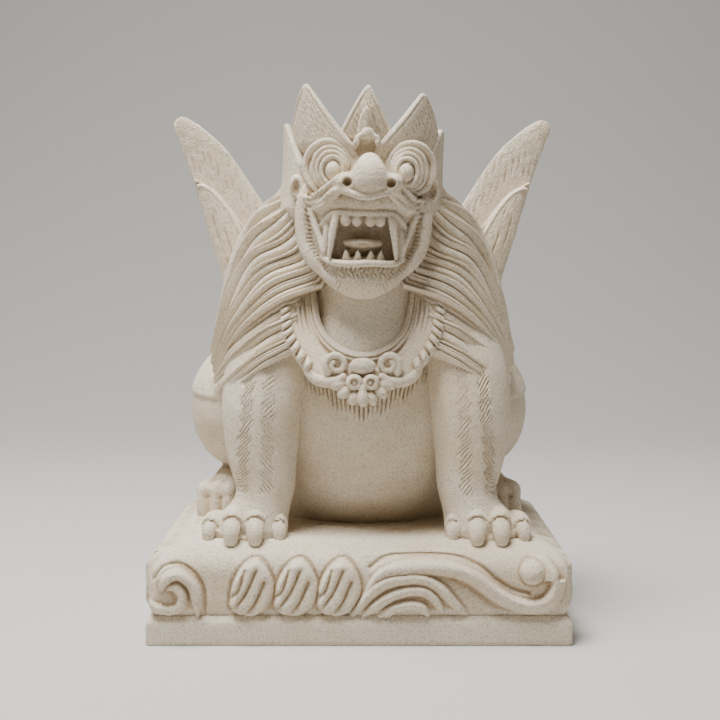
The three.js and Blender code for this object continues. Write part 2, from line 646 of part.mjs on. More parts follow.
function wing(side) {
  const outer = onSide([
    [30, 12, 44], [33.4, 9, 57.5], [36.6, 8, 68], [40, 8, 80], [43.4, 8, 90], [44.2, 8, 94.2],
  ], side);
  const inner = onSide([
    [13, 10, 52], [18.2, 9, 66], [23.5, 8.5, 75], [31.5, 8, 87], [38.2, 8, 93.4], [42, 8, 95.4],
  ], side);
  const covertOuter = onSide([
    [30, 8, 44], [33.2, 7, 57.5], [36.4, 7, 68], [39.2, 7, 77.5], [39.8, 7, 80],
  ], side);
  const covertInner = onSide([
    [14, 8, 50], [20, 7, 58], [26.6, 7, 67.4], [33.8, 7, 77], [39.6, 7, 80.6],
  ], side);
  const frame = side > 0 ? rightWingFrame : figureFrame;
  return join([
    blade(outer, inner, frame, { thick: [4, 1.8], ribs: 2, rise: 0.7, steps: 5 }),
    blade(covertOuter, covertInner, frame, { thick: [7, 3.6], ribs: 2, rise: 0.7, steps: 3 }),
  ]);
}

// Tail: rises from the rump against the back and opens into a tuft of flames

function tail() {
  const stem = [
    [0, 28, 2, 2.6, 2.6], [1, 29.5, 14, 2.4, 2.4], [-0.8, 29, 26, 2.2, 2.2], [0.6, 25.5, 38, 2, 2],
  ];
  const parts = [sweep(stem, figureFrame, { sides: 5, steps: 4 })];
  for (const [x, top] of [[-4.5, 50], [0, 57], [4.5, 50]]) {
    const flame = [[0.4 + x * 0.2, 24.5, 36, 1.6, 1.6], [x * 0.9, 23.8, 44, 2.4, 1.8],
      [x * 0.8 + 0.6, 22.6, top - 3, 1.2, 1.1], [x * 0.6, 22, top, 0.3, 0.3]];
    parts.push(sweep(flame, figureFrame, { sides: 4, steps: 2, twist: 0 }));
  }
  return join(parts);
}

// The statue: everything is one stone

function head() {
  return join([skull(), nose(), eye(-1), eye(1)])
    .subtract(mouthHollow())
    .subtract(nostrils())
    .add(lipsAndTeeth())
    .add(browsAndEars())
    .add(crown());
}

function statue() {
  return join([
    plinth(), frontRelief(),
    trunk(), foreleg(-1), foreleg(1), hindleg(-1), hindleg(1),
    mane(), collar(), wing(-1), wing(1), tail(), head(),
  ]);
}

function meshOf(name, whole, material) {
  const { vertProperties, triVerts } = whole.getMesh();
  const geometry = new THREE.BufferGeometry();
  geometry.setAttribute('position', new THREE.BufferAttribute(vertProperties, 3));
  geometry.setIndex(new THREE.BufferAttribute(triVerts, 1));
  geometry.computeVertexNormals();
  const mesh = new THREE.Mesh(geometry, material);
  mesh.name = name;
  return mesh;
}

const limestone = new THREE.MeshStandardMaterial({ color: 0xd9c9ae, roughness: 0.92, metalness: 0 });

const singha = new THREE.Group();
singha.add(meshOf('singha_statue', statue(), limestone));

export default singha;
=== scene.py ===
"""A seated winged temple lion (singha) on its plinth, carved from one block of soft pale limestone.

The block is dressed from the ground up: plinth, body, legs, haunches, tail, wings, mane, collar, head
and crown. It is all one stone, drawn as several meshes so that each keeps a workable number of faces.
Z is up and the lion faces -Y. The body is set out in hundredths of the lion's height above the plinth.
"""

import math

import bpy
import numpy as np
from mathutils import Euler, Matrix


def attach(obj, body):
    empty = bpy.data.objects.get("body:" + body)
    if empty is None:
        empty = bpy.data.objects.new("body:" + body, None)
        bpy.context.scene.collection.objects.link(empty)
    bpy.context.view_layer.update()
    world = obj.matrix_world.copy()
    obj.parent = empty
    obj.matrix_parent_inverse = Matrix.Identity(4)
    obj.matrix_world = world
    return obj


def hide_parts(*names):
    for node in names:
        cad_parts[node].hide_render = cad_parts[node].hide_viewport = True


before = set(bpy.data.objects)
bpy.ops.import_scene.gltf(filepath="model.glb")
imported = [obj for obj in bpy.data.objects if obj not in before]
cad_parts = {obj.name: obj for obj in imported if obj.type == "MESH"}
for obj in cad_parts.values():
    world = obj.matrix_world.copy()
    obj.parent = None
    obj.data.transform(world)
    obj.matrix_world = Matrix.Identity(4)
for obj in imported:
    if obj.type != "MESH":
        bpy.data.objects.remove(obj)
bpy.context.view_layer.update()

# Plinth slab
# A plain rectangular slab with a chamfered top edge, sawn and rubbed smooth, with small knocks along
# its edges. Everything else on the block stands on it.

MM = 0.001
slab_half = np.array([190.0, 150.0])
slab_top = 26.0
stone_cream = (0.785, 0.655, 0.460, 1)
# the stone's paler tone, also used as a painted highlight on what stands proud
stone_pale_and_highlight = (0.895, 0.810, 0.665, 1)
# warm tan laid into the hollows as painted shade
hollow_shade_tan = (0.440, 0.300, 0.165, 1)
stone_grey = (0.330, 0.280, 0.215, 1)


def rough(points, size):
    """Unevenness from -1 to 1: four slanting sine waves about `size` apart, multiplied in pairs."""
    x, y, z = (points / size).T * 2 * math.pi
    first = np.sin(0.83 * x + 0.31 * y + 0.47 * z) * np.sin(0.23 * x - 0.71 * y + 0.57 * z + 1.3)
    second = np.sin(1.71 * x - 0.93 * y - 1.13 * z + 0.4) * np.sin(0.61 * x + 1.87 * y + 1.31 * z + 2.1)
    return 0.65 * first + 0.35 * second


def uneven(grid, size):
    """The same unevenness over a grid of points."""
    return rough(grid.reshape(-1, 3), size).reshape(grid.shape[:-1])


def triangles_of(quads):
    """Each quad (a, b, c, d) as the triangles (a, b, c) and (a, c, d)."""
    quads = quads.reshape(-1, 4)
    return np.concatenate([quads[:, [0, 1, 2]], quads[:, [0, 2, 3]]])


def skin(rings, ends="middle"):
    """A closed shell through an array of rings [ring, point, xyz]. Each ring joins the next one; the
    first and last rings close to their middle, or along a seam where point k meets point m - 1 - k."""
    rings = np.asarray(rings, dtype=float)
    if ends == "middle":
        first = np.broadcast_to(rings[0].mean(axis=0), rings[0].shape)
        last = np.broadcast_to(rings[-1].mean(axis=0), rings[-1].shape)
    else:
        first = (rings[0] + rings[0][::-1]) / 2
        last = (rings[-1] + rings[-1][::-1]) / 2
    rings = np.concatenate([first[None], rings, last[None]])
    count, around = rings.shape[:2]
    i, j = np.meshgrid(np.arange(count - 1), np.arange(around), indexing="ij")
    k = (j + 1) % around
    quads = np.stack([i * around + j, i * around + k, (i + 1) * around + k, (i + 1) * around + j], axis=-1)
    return welded(rings.reshape(-1, 3), triangles_of(quads))


def welded(points, triangles):
    """Points that lie within a thousandth of each other made one, and the triangles that this empties
    left out."""
    keys = np.round(points * 1000).astype(np.int64)
    _, first, place = np.unique(keys, axis=0, return_index=True, return_inverse=True)
    triangles = place.reshape(-1)[triangles]
    a, b, c = triangles.T
    triangles = triangles[(a != b) & (b != c) & (c != a)]
    return points[first], triangles


def corner_normals(points, triangles):
    """Unit normal of each point: the sum of the cross products of its triangles' sides."""
    a, b, c = (points[triangles[:, k]] for k in range(3))
    faces = np.cross(b - a, c - a)
    total = np.stack([sum(
        np.bincount(triangles[:, k], faces[:, axis], len(points)) for k in range(3)
    ) for axis in range(3)], axis=-1)
    return total / np.maximum(np.linalg.norm(total, axis=1, keepdims=True), 1e-12)


def hollow_of(points, triangles, reach):
    """How deep a point lies below its surroundings, 0 to 1: the surface is evened out by averaging
    each point with its neighbours, and the point's distance under that surface is divided by reach."""
    ends = np.concatenate([triangles[:, [0, 1]], triangles[:, [1, 2]], triangles[:, [2, 0]]])
    degree = np.maximum(np.bincount(ends[:, 0], minlength=len(points)), 1)[:, None]
    even = points.copy()
    for _ in range(evening_passes):
        pulled = np.stack([
            np.bincount(ends[:, 0], even[ends[:, 1], axis], len(points)) for axis in range(3)
        ], axis=-1)
        even = 0.4 * even + 0.6 * pulled / degree
    depth = ((even - points) * corner_normals(points, triangles)).sum(axis=1)
    return np.clip(depth / reach, -1, 1)


def lime_stone():
    """Pale soft limestone: cream, paler on what stands proud by a painted highlight, a painted shade of warm
    tan in the hollows, grey specks a millimetre across and a matt, sandy surface."""
    stone = bpy.data.materials.new("limestone")
    stone.use_nodes = True
    tree = stone.node_tree
    shader = tree.nodes["Principled BSDF"]
    shader.inputs["Specular IOR Level"].default_value = 0.28
    place = tree.nodes.new("ShaderNodeTexCoord")

    def node(kind, **values):
        made = tree.nodes.new(kind)
        for key, value in values.items():
            if key in made.inputs:
                made.inputs[key].default_value = value
            else:
                setattr(made, key, value)
        return made

    def noise(scale, detail):
        made = node("ShaderNodeTexNoise", Scale=scale, Detail=detail, Roughness=0.6)
        tree.links.new(place.outputs["Object"], made.inputs["Vector"])
        return made.outputs["Fac"]

    def ramp(source, *stops):
        made = node("ShaderNodeMapRange")
        for socket, value in zip(("From Min", "From Max", "To Min", "To Max"), stops):
            made.inputs[socket].default_value = value
        tree.links.new(source, made.inputs["Value"])
        return made.outputs["Result"]

    def mixed(mask, low, high):
        made = node("ShaderNodeMix", data_type="RGBA")
        tree.links.new(mask, made.inputs[0])
        for socket, value in ((made.inputs[6], low), (made.inputs[7], high)):
            if isinstance(value, tuple):
                socket.default_value = value
            else:
                tree.links.new(value, socket)
        return made.outputs[2]

    def joined(operation, a, b):
        made = node("ShaderNodeMath", operation=operation, use_clamp=True)
        for socket, value in ((made.inputs[0], a), (made.inputs[1], b)):
            if isinstance(value, float):
                socket.default_value = value
            else:
                tree.links.new(value, socket)
        return made.outputs[0]

    hollow = node("ShaderNodeAttribute", attribute_name="hollow").outputs["Fac"]
    cloudy = ramp(noise(17, 5), 0.36, 0.68, 0, 1)
    base = mixed(cloudy, stone_cream, stone_pale_and_highlight)
    stain = joined("MULTIPLY", ramp(noise(9, 4), 0.42, 0.72, 0, 1), 0.42)
    base = mixed(stain, base, (0.78, 0.64, 0.45, 1))
    # painted highlight: what stands proud of its surroundings is made paler
    proud = joined("MULTIPLY", ramp(hollow, -0.1, -0.75, 0, 1), 0.5)
    base = mixed(proud, base, stone_pale_and_highlight)
    grain = ramp(noise(560, 3), 0.4, 0.62, 0, 1)
    base = mixed(joined("MULTIPLY", grain, 0.5), base, (0.56, 0.46, 0.33, 1))
    # painted shade: the deeper a point lies in a hollow, the more it turns warm tan
    deep = joined("MULTIPLY", ramp(hollow, 0.05, 0.8, 0, 1), joined("ADD", ramp(grain, 0, 1, 0, 0.25), 0.6))
    base = mixed(deep, base, hollow_shade_tan)
    speck = joined("MULTIPLY", ramp(noise(560, 2), 0.6, 0.68, 0, 1), 0.5)
    base = mixed(speck, base, stone_grey)
    tree.links.new(base, shader.inputs["Base Color"])
    tree.links.new(ramp(noise(120, 3), 0.3, 0.7, 0.84, 0.97), shader.inputs["Roughness"])
    bump = node("ShaderNodeBump", Strength=1.0, Distance=0.002)
    sand = joined("ADD", joined("MULTIPLY", noise(700, 3), 0.75), joined("MULTIPLY", noise(210, 3), 0.4))
    tree.links.new(sand, bump.inputs["Height"])
    tree.links.new(bump.outputs["Normal"], shader.inputs["Normal"])
    return stone


limestone = lime_stone()
evening_passes = 14


def carved(name, points, triangles, reach=1.1, sharp=50):
    """A shell given in millimetres made a piece of the statue: its faces turned outward, its hollows
    measured for the painted shade in them and the painted highlight on what stands proud, and edges
    steeper than `sharp` degrees left crisp."""
    a, b, c = (points[triangles[:, k]] for k in range(3))
    if (a * np.cross(b, c)).sum() < 0:
        triangles = triangles[:, ::-1]
    mesh = bpy.data.meshes.new(name)
    mesh.vertices.add(len(points))
    mesh.vertices.foreach_set("co", (points * MM).astype(np.float32).ravel())
    mesh.loops.add(triangles.size)
    mesh.loops.foreach_set("vertex_index", triangles.astype(np.int32).ravel())
    mesh.polygons.add(len(triangles))
    mesh.polygons.foreach_set("loop_start", np.arange(0, triangles.size, 3, dtype=np.int32))
    mesh.polygons.foreach_set("use_smooth", np.ones(len(triangles), dtype=bool))
    mesh.update(calc_edges=True)
    mesh.validate()
    mesh.set_sharp_from_angle(angle=math.radians(sharp))
    # how hollow or proud each point is, which drives the painted shade and painted highlight in the colour
    hollow = mesh.attributes.new("hollow", "FLOAT", "POINT")
    hollow.data.foreach_set("value", hollow_of(points, triangles, reach).astype(np.float32))
    mesh.materials.append(limestone)
    piece = bpy.data.objects.new(name, mesh)
    bpy.context.scene.collection.objects.link(piece)
    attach(piece, "root")
    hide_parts("singha_statue")
    return piece


def rounded_ring(inset, radius, height, along_walls, in_corner):
    """The outline of a rounded rectangle, `inset` inside the slab: straight walls with `along_walls`
    points each (front, right, back, left), and corners that are quarter circles of `in_corner` points.
    Returns the points, the place along each wall from -1 to 1, and the wall's number and direction."""
    points, place, walls, outward = [], [], [], []
    for wall in range(4):
        half, reach = (slab_half if wall % 2 == 0 else slab_half[::-1]) - inset
        straight = half - radius
        along = np.linspace(-straight, straight, along_walls[wall])
        turn = np.linspace(-math.pi / 2, 0, in_corner + 2)[1:-1]
        x = np.concatenate([along, straight + radius * np.cos(turn)])
        y = np.concatenate([np.full_like(along, -reach), -reach + radius + radius * np.sin(turn)])
        normal_x = np.concatenate([np.zeros_like(along), np.cos(turn)])
        normal_y = np.concatenate([-np.ones_like(along), np.sin(turn)])
        cos, sin = round(math.cos(wall * math.pi / 2)), round(math.sin(wall * math.pi / 2))
        points.append(np.stack([cos * x - sin * y, sin * x + cos * y, np.full_like(x, height)], axis=-1))
        outward.append(np.stack([cos * normal_x - sin * normal_y, sin * normal_x + cos * normal_y,
                                 np.zeros_like(x)], axis=-1))
        place.append(x)
        walls.append(np.full(len(x), wall))
    return np.concatenate(points), np.concatenate(place), np.concatenate(walls), np.concatenate(outward)


slab_columns = (96, 76, 96, 76)
slab_rows = [
    (0.8, 0.0), (0.0, 1.0), (0.0, 5.0), (0.0, 10.0), (0.0, 15.5), (0.0, 20.0), (0.8, 21.4), (2.6, 23.6),
    (4.4, 25.4), (5.6, 26.0), (9.0, 26.1), (16.0, 26.0)
]
slab_rings = []
for inset, height in slab_rows:
    ring, _, _, outward = rounded_ring(inset, 4.0, height, slab_columns, 3)
    knock = np.clip(rough(ring, 31.0) - 0.42, 0, 1) * (2.4 if 19 < height < 26 else 0.6)
    ring = ring - outward * (knock + 0.25 * rough(ring, 11.0) + 0.25)[:, None]
    slab_rings.append(ring)
carved("plinth_slab", *skin(slab_rings), reach=0.8)

# Plinth mound
# The swelling top of the plinth, carved all round: a scroll on the front left corner, three fluted cloud
# lobes, a breaking wave with a ball at its end, and more lobes round the sides and the back.

mound_high = 64.0
mound_inset = 1.6
front_edge = 0.6  # how squarely a wall must face the front to carry the front's carving
wall_margin = 10.0
lobe_pitch = 40.0
front_lobes = (-95.2, -56.2, -18.2)
ball_middle = (153.5, 40)
ball_radius = 11.5
points_in_corner = 14


def between(before, p, q, after, f):
    """The Catmull-Rom curve from p to q at a share f: a cubic whose slopes are half of q - before and
    half of after - p."""
    slope_in, slope_out = (q - before) / 2, (after - p) / 2
    return p + f * (slope_in + f * (
        3 * (q - p) - 2 * slope_in - slope_out + f * (2 * (p - q) + slope_in + slope_out)
    ))


def path_through(rows, count):
    """Rows of numbers blended along their length by a Catmull-Rom line, `count` samples."""
    rows = np.asarray(rows, dtype=float)
    padded = np.concatenate([rows[:1], rows, rows[-1:]])
    t = np.linspace(0, len(rows) - 1, count)
    i = np.minimum(t.astype(int), len(rows) - 2)
    f = (t - i).reshape((-1,) + (1,) * (rows.ndim - 1))
    return between(padded[i], padded[i + 1], padded[i + 2], padded[i + 3], f)


def line_distance(x, z, line):
    """Distance in a plane from each point to a line through the given places, and how far along it."""
    best = np.full(x.shape, 1e9)
    share = np.zeros(x.shape)
    for k, ((ax, az), (bx, bz)) in enumerate(zip(line[:-1], line[1:])):
        ux, uz = bx - ax, bz - az
        t = np.clip(((x - ax) * ux + (z - az) * uz) / max(ux * ux + uz * uz, 1e-9), 0, 1)
        apart = np.hypot(x - ax - t * ux, z - az - t * uz)
        nearer = apart < best
        best = np.where(nearer, apart, best)
        share = np.where(nearer, (k + t) / (len(line) - 1), share)
    return best, share


def rolled(x, z, rows, half_width, rise, lean=0.0):
    """A roll along a line, half_width wide each way: rise * (1 - (distance / half_width)^2)^0.7, narrower
    towards both ends. A lean makes the side under the line broader by that share, and shallower."""
    apart, share = line_distance(x, z, path_through(rows, 40))
    if lean:
        below, _ = line_distance(x, z, path_through(np.array(rows) - (0, 0.5), 40))
        apart = apart * np.where(below < apart, 1 / (1 + lean), 1)
    wide = half_width * np.clip(0.45 + 3.2 * np.minimum(share, 1 - share), 0, 1)
    return rise * np.clip(1 - (apart / wide) ** 2, 0, 1) ** 0.7 * (wide / half_width)


def groove(x, z, rows, half_width, depth):
    """A V cut along a line with soft shoulders: depth * exp(-(distance / half_width)^2)."""
    apart, _ = line_distance(x, z, path_through(rows, 24))
    return depth * np.exp(-((apart / half_width) ** 2))


def smooth_step(t):
    """A soft rise from 0 to 1 while t goes from 0 to 1: t^2 (3 - 2t)."""
    t = np.clip(t, 0, 1)
    return t * t * (3 - 2 * t)


def inside(x, z, corners):
    """Distance inside a closed outline, negative outside: the distance to its sides, with the sign
    from counting how many sides a level line to the left of the point crosses."""
    outline = path_through(np.concatenate([corners, corners[:1]]), 5 * len(corners))
    apart, _ = line_distance(x, z, outline)
    within = np.zeros(x.shape, dtype=bool)
    for (ax, az), (bx, bz) in zip(outline[:-1], outline[1:]):
        if az != bz:
            crossed = ((az > z) != (bz > z)) & (x > ax + (z - az) * (bx - ax) / (bz - az))
            within ^= crossed
    return np.where(within, apart, -apart)


lobe_outline = np.array([
    (-18, 9), (-15, 28), (-7, 41), (4, 47), (13, 40), (18.5, 25), (15, 11), (4, 0), (-10, 0)
], dtype=float)
lobe_cuts = [
    [(-18, 15), (-10.5, 23), (-5.5, 38)], [(-16.5, 5), (-5, 19), (3.5, 38)],
    [(-8, 0), (2.5, 11), (10.5, 29)]
]


def cloud_lobe(x, z, size=1.0):
    """A leaning tear-shaped lobe with a soft round edge, cut by three curved flutes, and the depth of
    the moat round it."""
    x, z = x / size, z / size
    deep = inside(x, z, lobe_outline)
    body = 6.6 * np.sqrt(smooth_step(deep / 4)) * (1 - 0.012 * (x + 8))
    moat = 2.0 * np.exp(-(((deep + 1.4) / 1.8) ** 2))
    for cut in lobe_cuts:
        body = body - groove(x, z, cut, 1.5, 3.6) * smooth_step(deep / 2)
        body = body - groove(x, z, np.array(cut) + (1.5, -1), 3.2, 1.2) * smooth_step(deep / 2)
    return np.where(deep > 0, np.maximum(body, 0.3), 0), moat


def front_relief(x, z):
    """The front's carving in millimetres: the highest of its rolls, lobes and ball, less its grooves."""
    relief = rolled(x, z, [
        (-143, 0), (-144.5, 20), (-149.5, 31), (-160, 38), (-170, 34), (-175.5, 25)
    ], 5.6, 7.0)
    relief = np.maximum(relief, rolled(x, z, [
        (-186, 13), (-178, 7), (-168, 4.6), (-158.5, 9), (-156.5, 19), (-162, 26), (-169, 25.5)
    ], 5.0, 6.0))
    moat = np.zeros(x.shape)
    for middle in front_lobes:
        lobe, ditch = cloud_lobe(x - middle, z, 1.08)
        relief, moat = np.maximum(relief, lobe), np.maximum(moat, ditch)
    crest = [(4, 14), (13.9, 34.8), (29.9, 44.2), (53, 46.6), (79, 45.7), (102, 37.7), (118, 26), (134, 16),
             (150, 11.2), (163, 13.2), (171, 21), (173.5, 32), (170.5, 43), (163, 52), (153, 55.5)]
    relief = np.maximum(relief, rolled(x, z, crest, 4.2, 7.4, 1.5))
    for rows, wide in (
        ([(-5, 2), (9.6, 21.8), (24, 31.9), (43, 35.5), (57, 34.8), (69, 29), (79, 20), (94, 3)], 4.8),
        ([(3, 0), (18, 13.5), (35.7, 22.6), (54.5, 24.6), (66, 19), (74, 5)], 4.2),
        ([(16, -2), (30, 7.7), (46, 11.6), (57, 8.6), (62, 0)], 4.2)
    ):
        relief = np.maximum(relief, rolled(x, z, rows, wide * 0.85, 6.8, 0.9))
    off_ball = np.hypot(x - ball_middle[0], z - ball_middle[1])
    relief = np.maximum(relief, 8.5 * np.sqrt(np.clip(1 - (off_ball / ball_radius) ** 2, 0, 1)))
    relief = relief - groove(x, z, [
        (-183, 34), (-174, 44), (-160, 47), (-146, 40), (-137, 24), (-136, 2)
    ], 1.6, 2.6)
    relief = relief - groove(x, z, [
        (10, 44), (26, 53), (53, 55), (82, 53.5), (106, 45.5), (123, 33), (139, 24), (151, 21.5)
    ], 2.2, 3.2)
    relief = relief - groove(x, z, [(84, 34), (101, 24), (117, 12), (131, 4)], 4.0, 2.2)
    return np.where(relief > 0.1, relief, relief - moat) - 1.2


def wall_relief(x, z, half, way):
    """Lobes like the front's, side by side along a wall, leaning one way, and fading at its ends."""
    pitch = 2 * half / round(2 * half / lobe_pitch)
    local = (x + half) % pitch - pitch / 2
    size = pitch / 38.0
    tall = 0.76 * z
    relief, moat = cloud_lobe(local * way, tall, size)
    for aside in (-pitch, pitch):
        lobe, ditch = cloud_lobe((local + aside) * way, tall, size)
        relief, moat = np.maximum(relief, 0.8 * lobe), np.maximum(moat, ditch)
    return np.where(relief > 0.1, relief, relief - moat) * smooth_step((half - np.abs(x)) / 9) - 1.5


def mound_drop(share):
    """How far the wall stands inside the slab: nearly upright, then rolled inward at the shoulder."""
    shoulder = 28.0 * np.clip((share - 0.5) / 0.5, 0, 1) ** 3.2
    return mound_inset + shoulder + 4.0 * (1 - min(share / 0.2, 1)) ** 2


mound_columns = (320, 110, 110, 110)
mound_rings = []
shares = np.concatenate([[-0.02], np.linspace(0, 0.8, 44), np.linspace(0.8, 1, 16)[1:]])
for share in shares:
    level = max(share, 0)
    ring, place, walls, outward = rounded_ring(
        mound_drop(level), 7.0 + 23 * level ** 2, slab_top + share * mound_high, mound_columns,
        points_in_corner
    )
    climb = level * mound_high + 0.45 * max(mound_drop(level) - 8, 0)
    relief = np.zeros(len(place))
    front = outward[:, 1] < -front_edge
    height = np.full(len(place), climb)
    facing = smooth_step((-outward[front, 1] - front_edge) / 0.3)
    relief[front] = front_relief(ring[front, 0], height[front]) * facing
    for wall in (1, 2, 3):
        side = (walls == wall) & ~front
        half = slab_half[wall % 2] - wall_margin
        relief[side] = wall_relief(place[side], height[side], half, -1 if wall == 1 else 1)
    fade = smooth_step((1.02 - level) / 0.12)
    ring = ring + outward * (relief * fade - 0.3 + 0.3 * rough(ring, 14.0))[:, None]
    ring[:, 2] += 0.5 * rough(ring, 23.0) * smooth_step((level - 0.8) / 0.2)
    mound_rings.append(ring)
for inset, height in ((34.0, 90.2), (40.0, 89.6), (46.0, 86.0)):
    ring, _, _, _ = rounded_ring(inset, 30.0, height, mound_columns, points_in_corner)
    ring[:, 2] += 0.5 * rough(ring, 23.0)
    mound_rings.append(ring)
carved("plinth_mound", *skin(mound_rings), reach=1.2)

# Plinth top
# The bed of the same limestone between the paws and round the haunches. It was levelled by eye as the
# stone round the lion was cut away, and keeps the shallow marks of a flat chisel.

plinth_top = 90.0
bed_half = (158.0, 118.0)
bed_depth = 9.0
bed_across, bed_deep = (np.linspace(-half, half, count) for half, count in zip(bed_half, (60, 46)))
bed_x, bed_y = np.meshgrid(bed_across, bed_deep, indexing="ij")
bed = np.stack([bed_x, bed_y, np.zeros_like(bed_x)], axis=-1)
rim = np.minimum(bed_half[0] - np.abs(bed_x), bed_half[1] - np.abs(bed_y))
chisel = uneven(bed, 17.0) + 0.5 * uneven(bed, 7.0)
bed[..., 2] = plinth_top + 0.1 + 0.55 * chisel - 4 * np.clip(1 - rim / 5, 0, 1) ** 2
under = bed.copy()
under[..., 2] = plinth_top - bed_depth
bed_rings = np.concatenate([bed, under[:, ::-1]], axis=1)
carved("plinth_bed", *skin(bed_rings, ends="seam"), reach=1.0)

# Body
# The chest, belly and throat: one smooth swell that rises from the plinth, with a fringe of chest hair
# cut as short strokes under the collar.

unit = 4.1
fore_shift = 1.6


def figure_mm(points):
    """Hundredths of the lion's height, from the top of the plinth, in millimetres."""
    return np.asarray(points) * unit + (0, 0, plinth_top)


def fore_mm(points):
    """The same for the forepart, which sits a little to one side of the plinth's middle."""
    return figure_mm(np.asarray(points) + (fore_shift, 0, 0))


def on_side(rows, side):
    """Rows whose first number is x, on the left (-1) or right (1) flank."""
    rows = np.array(rows, dtype=float)
    rows[..., 0] *= side
    return rows


def limb(rows, steps, angles, hint=(1, 0, 0), round_ends=5):
    """Ovals carried along rows of [x, y, z, half size along the hint, half size across it]. The ends are
    domes: the oval shrinks as sqrt(1 - s^2) while it slides on by s times its lesser half size."""
    line = path_through(rows, steps)
    centre, halves = line[:, :3], line[:, 3:]
    ahead = np.gradient(centre, axis=0)
    ahead /= np.linalg.norm(ahead, axis=1, keepdims=True)
    dome = np.sin(np.linspace(0, math.pi / 2, round_ends + 1)[1:])
    slides = np.concatenate([-dome[::-1], np.zeros(steps), dome])
    pick = np.concatenate([np.zeros(round_ends, int), np.arange(steps), np.full(round_ends, steps - 1)])
    scale = np.sqrt(np.clip(1 - slides ** 2, 0, 1))[:, None]
    centre, halves, ahead = centre[pick], halves[pick], ahead[pick]
    centre = centre + ahead * (slides * 0.6 * halves.min(axis=1))[:, None]
    first = np.array(hint) - ahead * (ahead @ np.array(hint))[:, None]
    first /= np.linalg.norm(first, axis=1, keepdims=True)
    second = np.cross(ahead, first)
    across = (scale * halves[:, :1] * np.cos(angles))[:, :, None] * first[:, None]
    return centre[:, None] + across + (scale * halves[:, 1:2] * np.sin(angles))[:, :, None] * second[:, None]


def swelled(rings, height):
    """Rings moved outward by a height at each point, square to the surface that they span."""
    around = np.roll(rings, -1, axis=1) - np.roll(rings, 1, axis=1)
    along = np.gradient(rings, axis=0)
    normal = np.cross(along, around)
    normal /= np.maximum(np.linalg.norm(normal, axis=2, keepdims=True), 1e-9)
    outward = ((rings - rings.mean(axis=1, keepdims=True)) * normal).sum()
    return rings + normal * np.sign(outward) * height[..., None]


def fine_angles(middle, spread, fine, coarse):
    """Angles round an oval: `fine` of them within `spread` of the middle one, `coarse` over the rest."""
    near = middle + np.linspace(-spread, spread, fine)
    far = middle + np.linspace(spread, 2 * math.pi - spread, coarse + 2)[1:-1]
    return np.concatenate([near, far])


def dashes(across, along, spacing, length, half_width, depth):
    """Rows of short chisel cuts: parallel lines `spacing` apart, each broken into dashes of a `length`
    that start at a different place on every line."""
    line = np.round(across / spacing)
    off = across - line * spacing
    beat = (along / length + 0.618 * line) % 1
    taper = smooth_step(np.minimum(beat, 0.82 - beat) / 0.2)
    return depth * taper * np.exp(-((off / half_width) ** 2))


chest_rows = [
    (0, 15, -3, 24, 15), (0, 9, 8, 25, 20.5), (0, 3, 20, 26, 25), (0, -3, 32, 25, 25), (0, -6, 42, 22, 20),
    (0, -7, 50, 16, 14), (0, -8, 56, 9, 9)
]
chest = limb(chest_rows, 150, fine_angles(-math.pi / 2, 0.95, 190, 30))
cx, cy, cz = chest[..., 0], chest[..., 1], chest[..., 2]
hem = 30.2 + 9.5 * (np.abs(cx + 0.8) / 16.4) ** 1.2
below_hem = hem - cz
fan = cx + 0.32 * (cx + 0.8) / 14 * below_hem
strand = np.abs((fan / 1.05) % 1 - 0.5) * 2
length = 4.6 + 0.8 * np.sin(5.1 * np.round(fan / 1.05))
fringe = smooth_step((below_hem + 3) / 0.4) * smooth_step((length - below_hem) / 1.6) * (cy < -8)
fringe = fringe * smooth_step((17.5 - np.abs(cx + 0.8)) / 0.5)
relief = fringe * (0.4 - 0.9 * smooth_step(1 - strand / 0.75))
relief = relief + 0.10 * uneven(chest, 9.0)
carved("chest", *skin(fore_mm(swelled(chest, relief))), reach=1.6)

throat_rows = [
    (0, -14, 35, 13, 12.6), (0, -14.6, 40.6, 13, 12.5), (0, -13.6, 47, 12, 12), (0, -12.6, 54, 11.4, 11.6),
    (0, -12, 60, 12, 12), (0, -12, 66, 12, 11)
]
throat = limb(throat_rows, 36, fine_angles(-math.pi / 2, 1.4, 50, 12))
carved("throat", *skin(fore_mm(swelled(throat, 0.06 * uneven(throat, 8.0)))))

# Forelegs
# Two stout columns with a herringbone of short strokes down the front, left proud of the chest by a
# deep crease. The paws are carved from the same stone, four toes each.


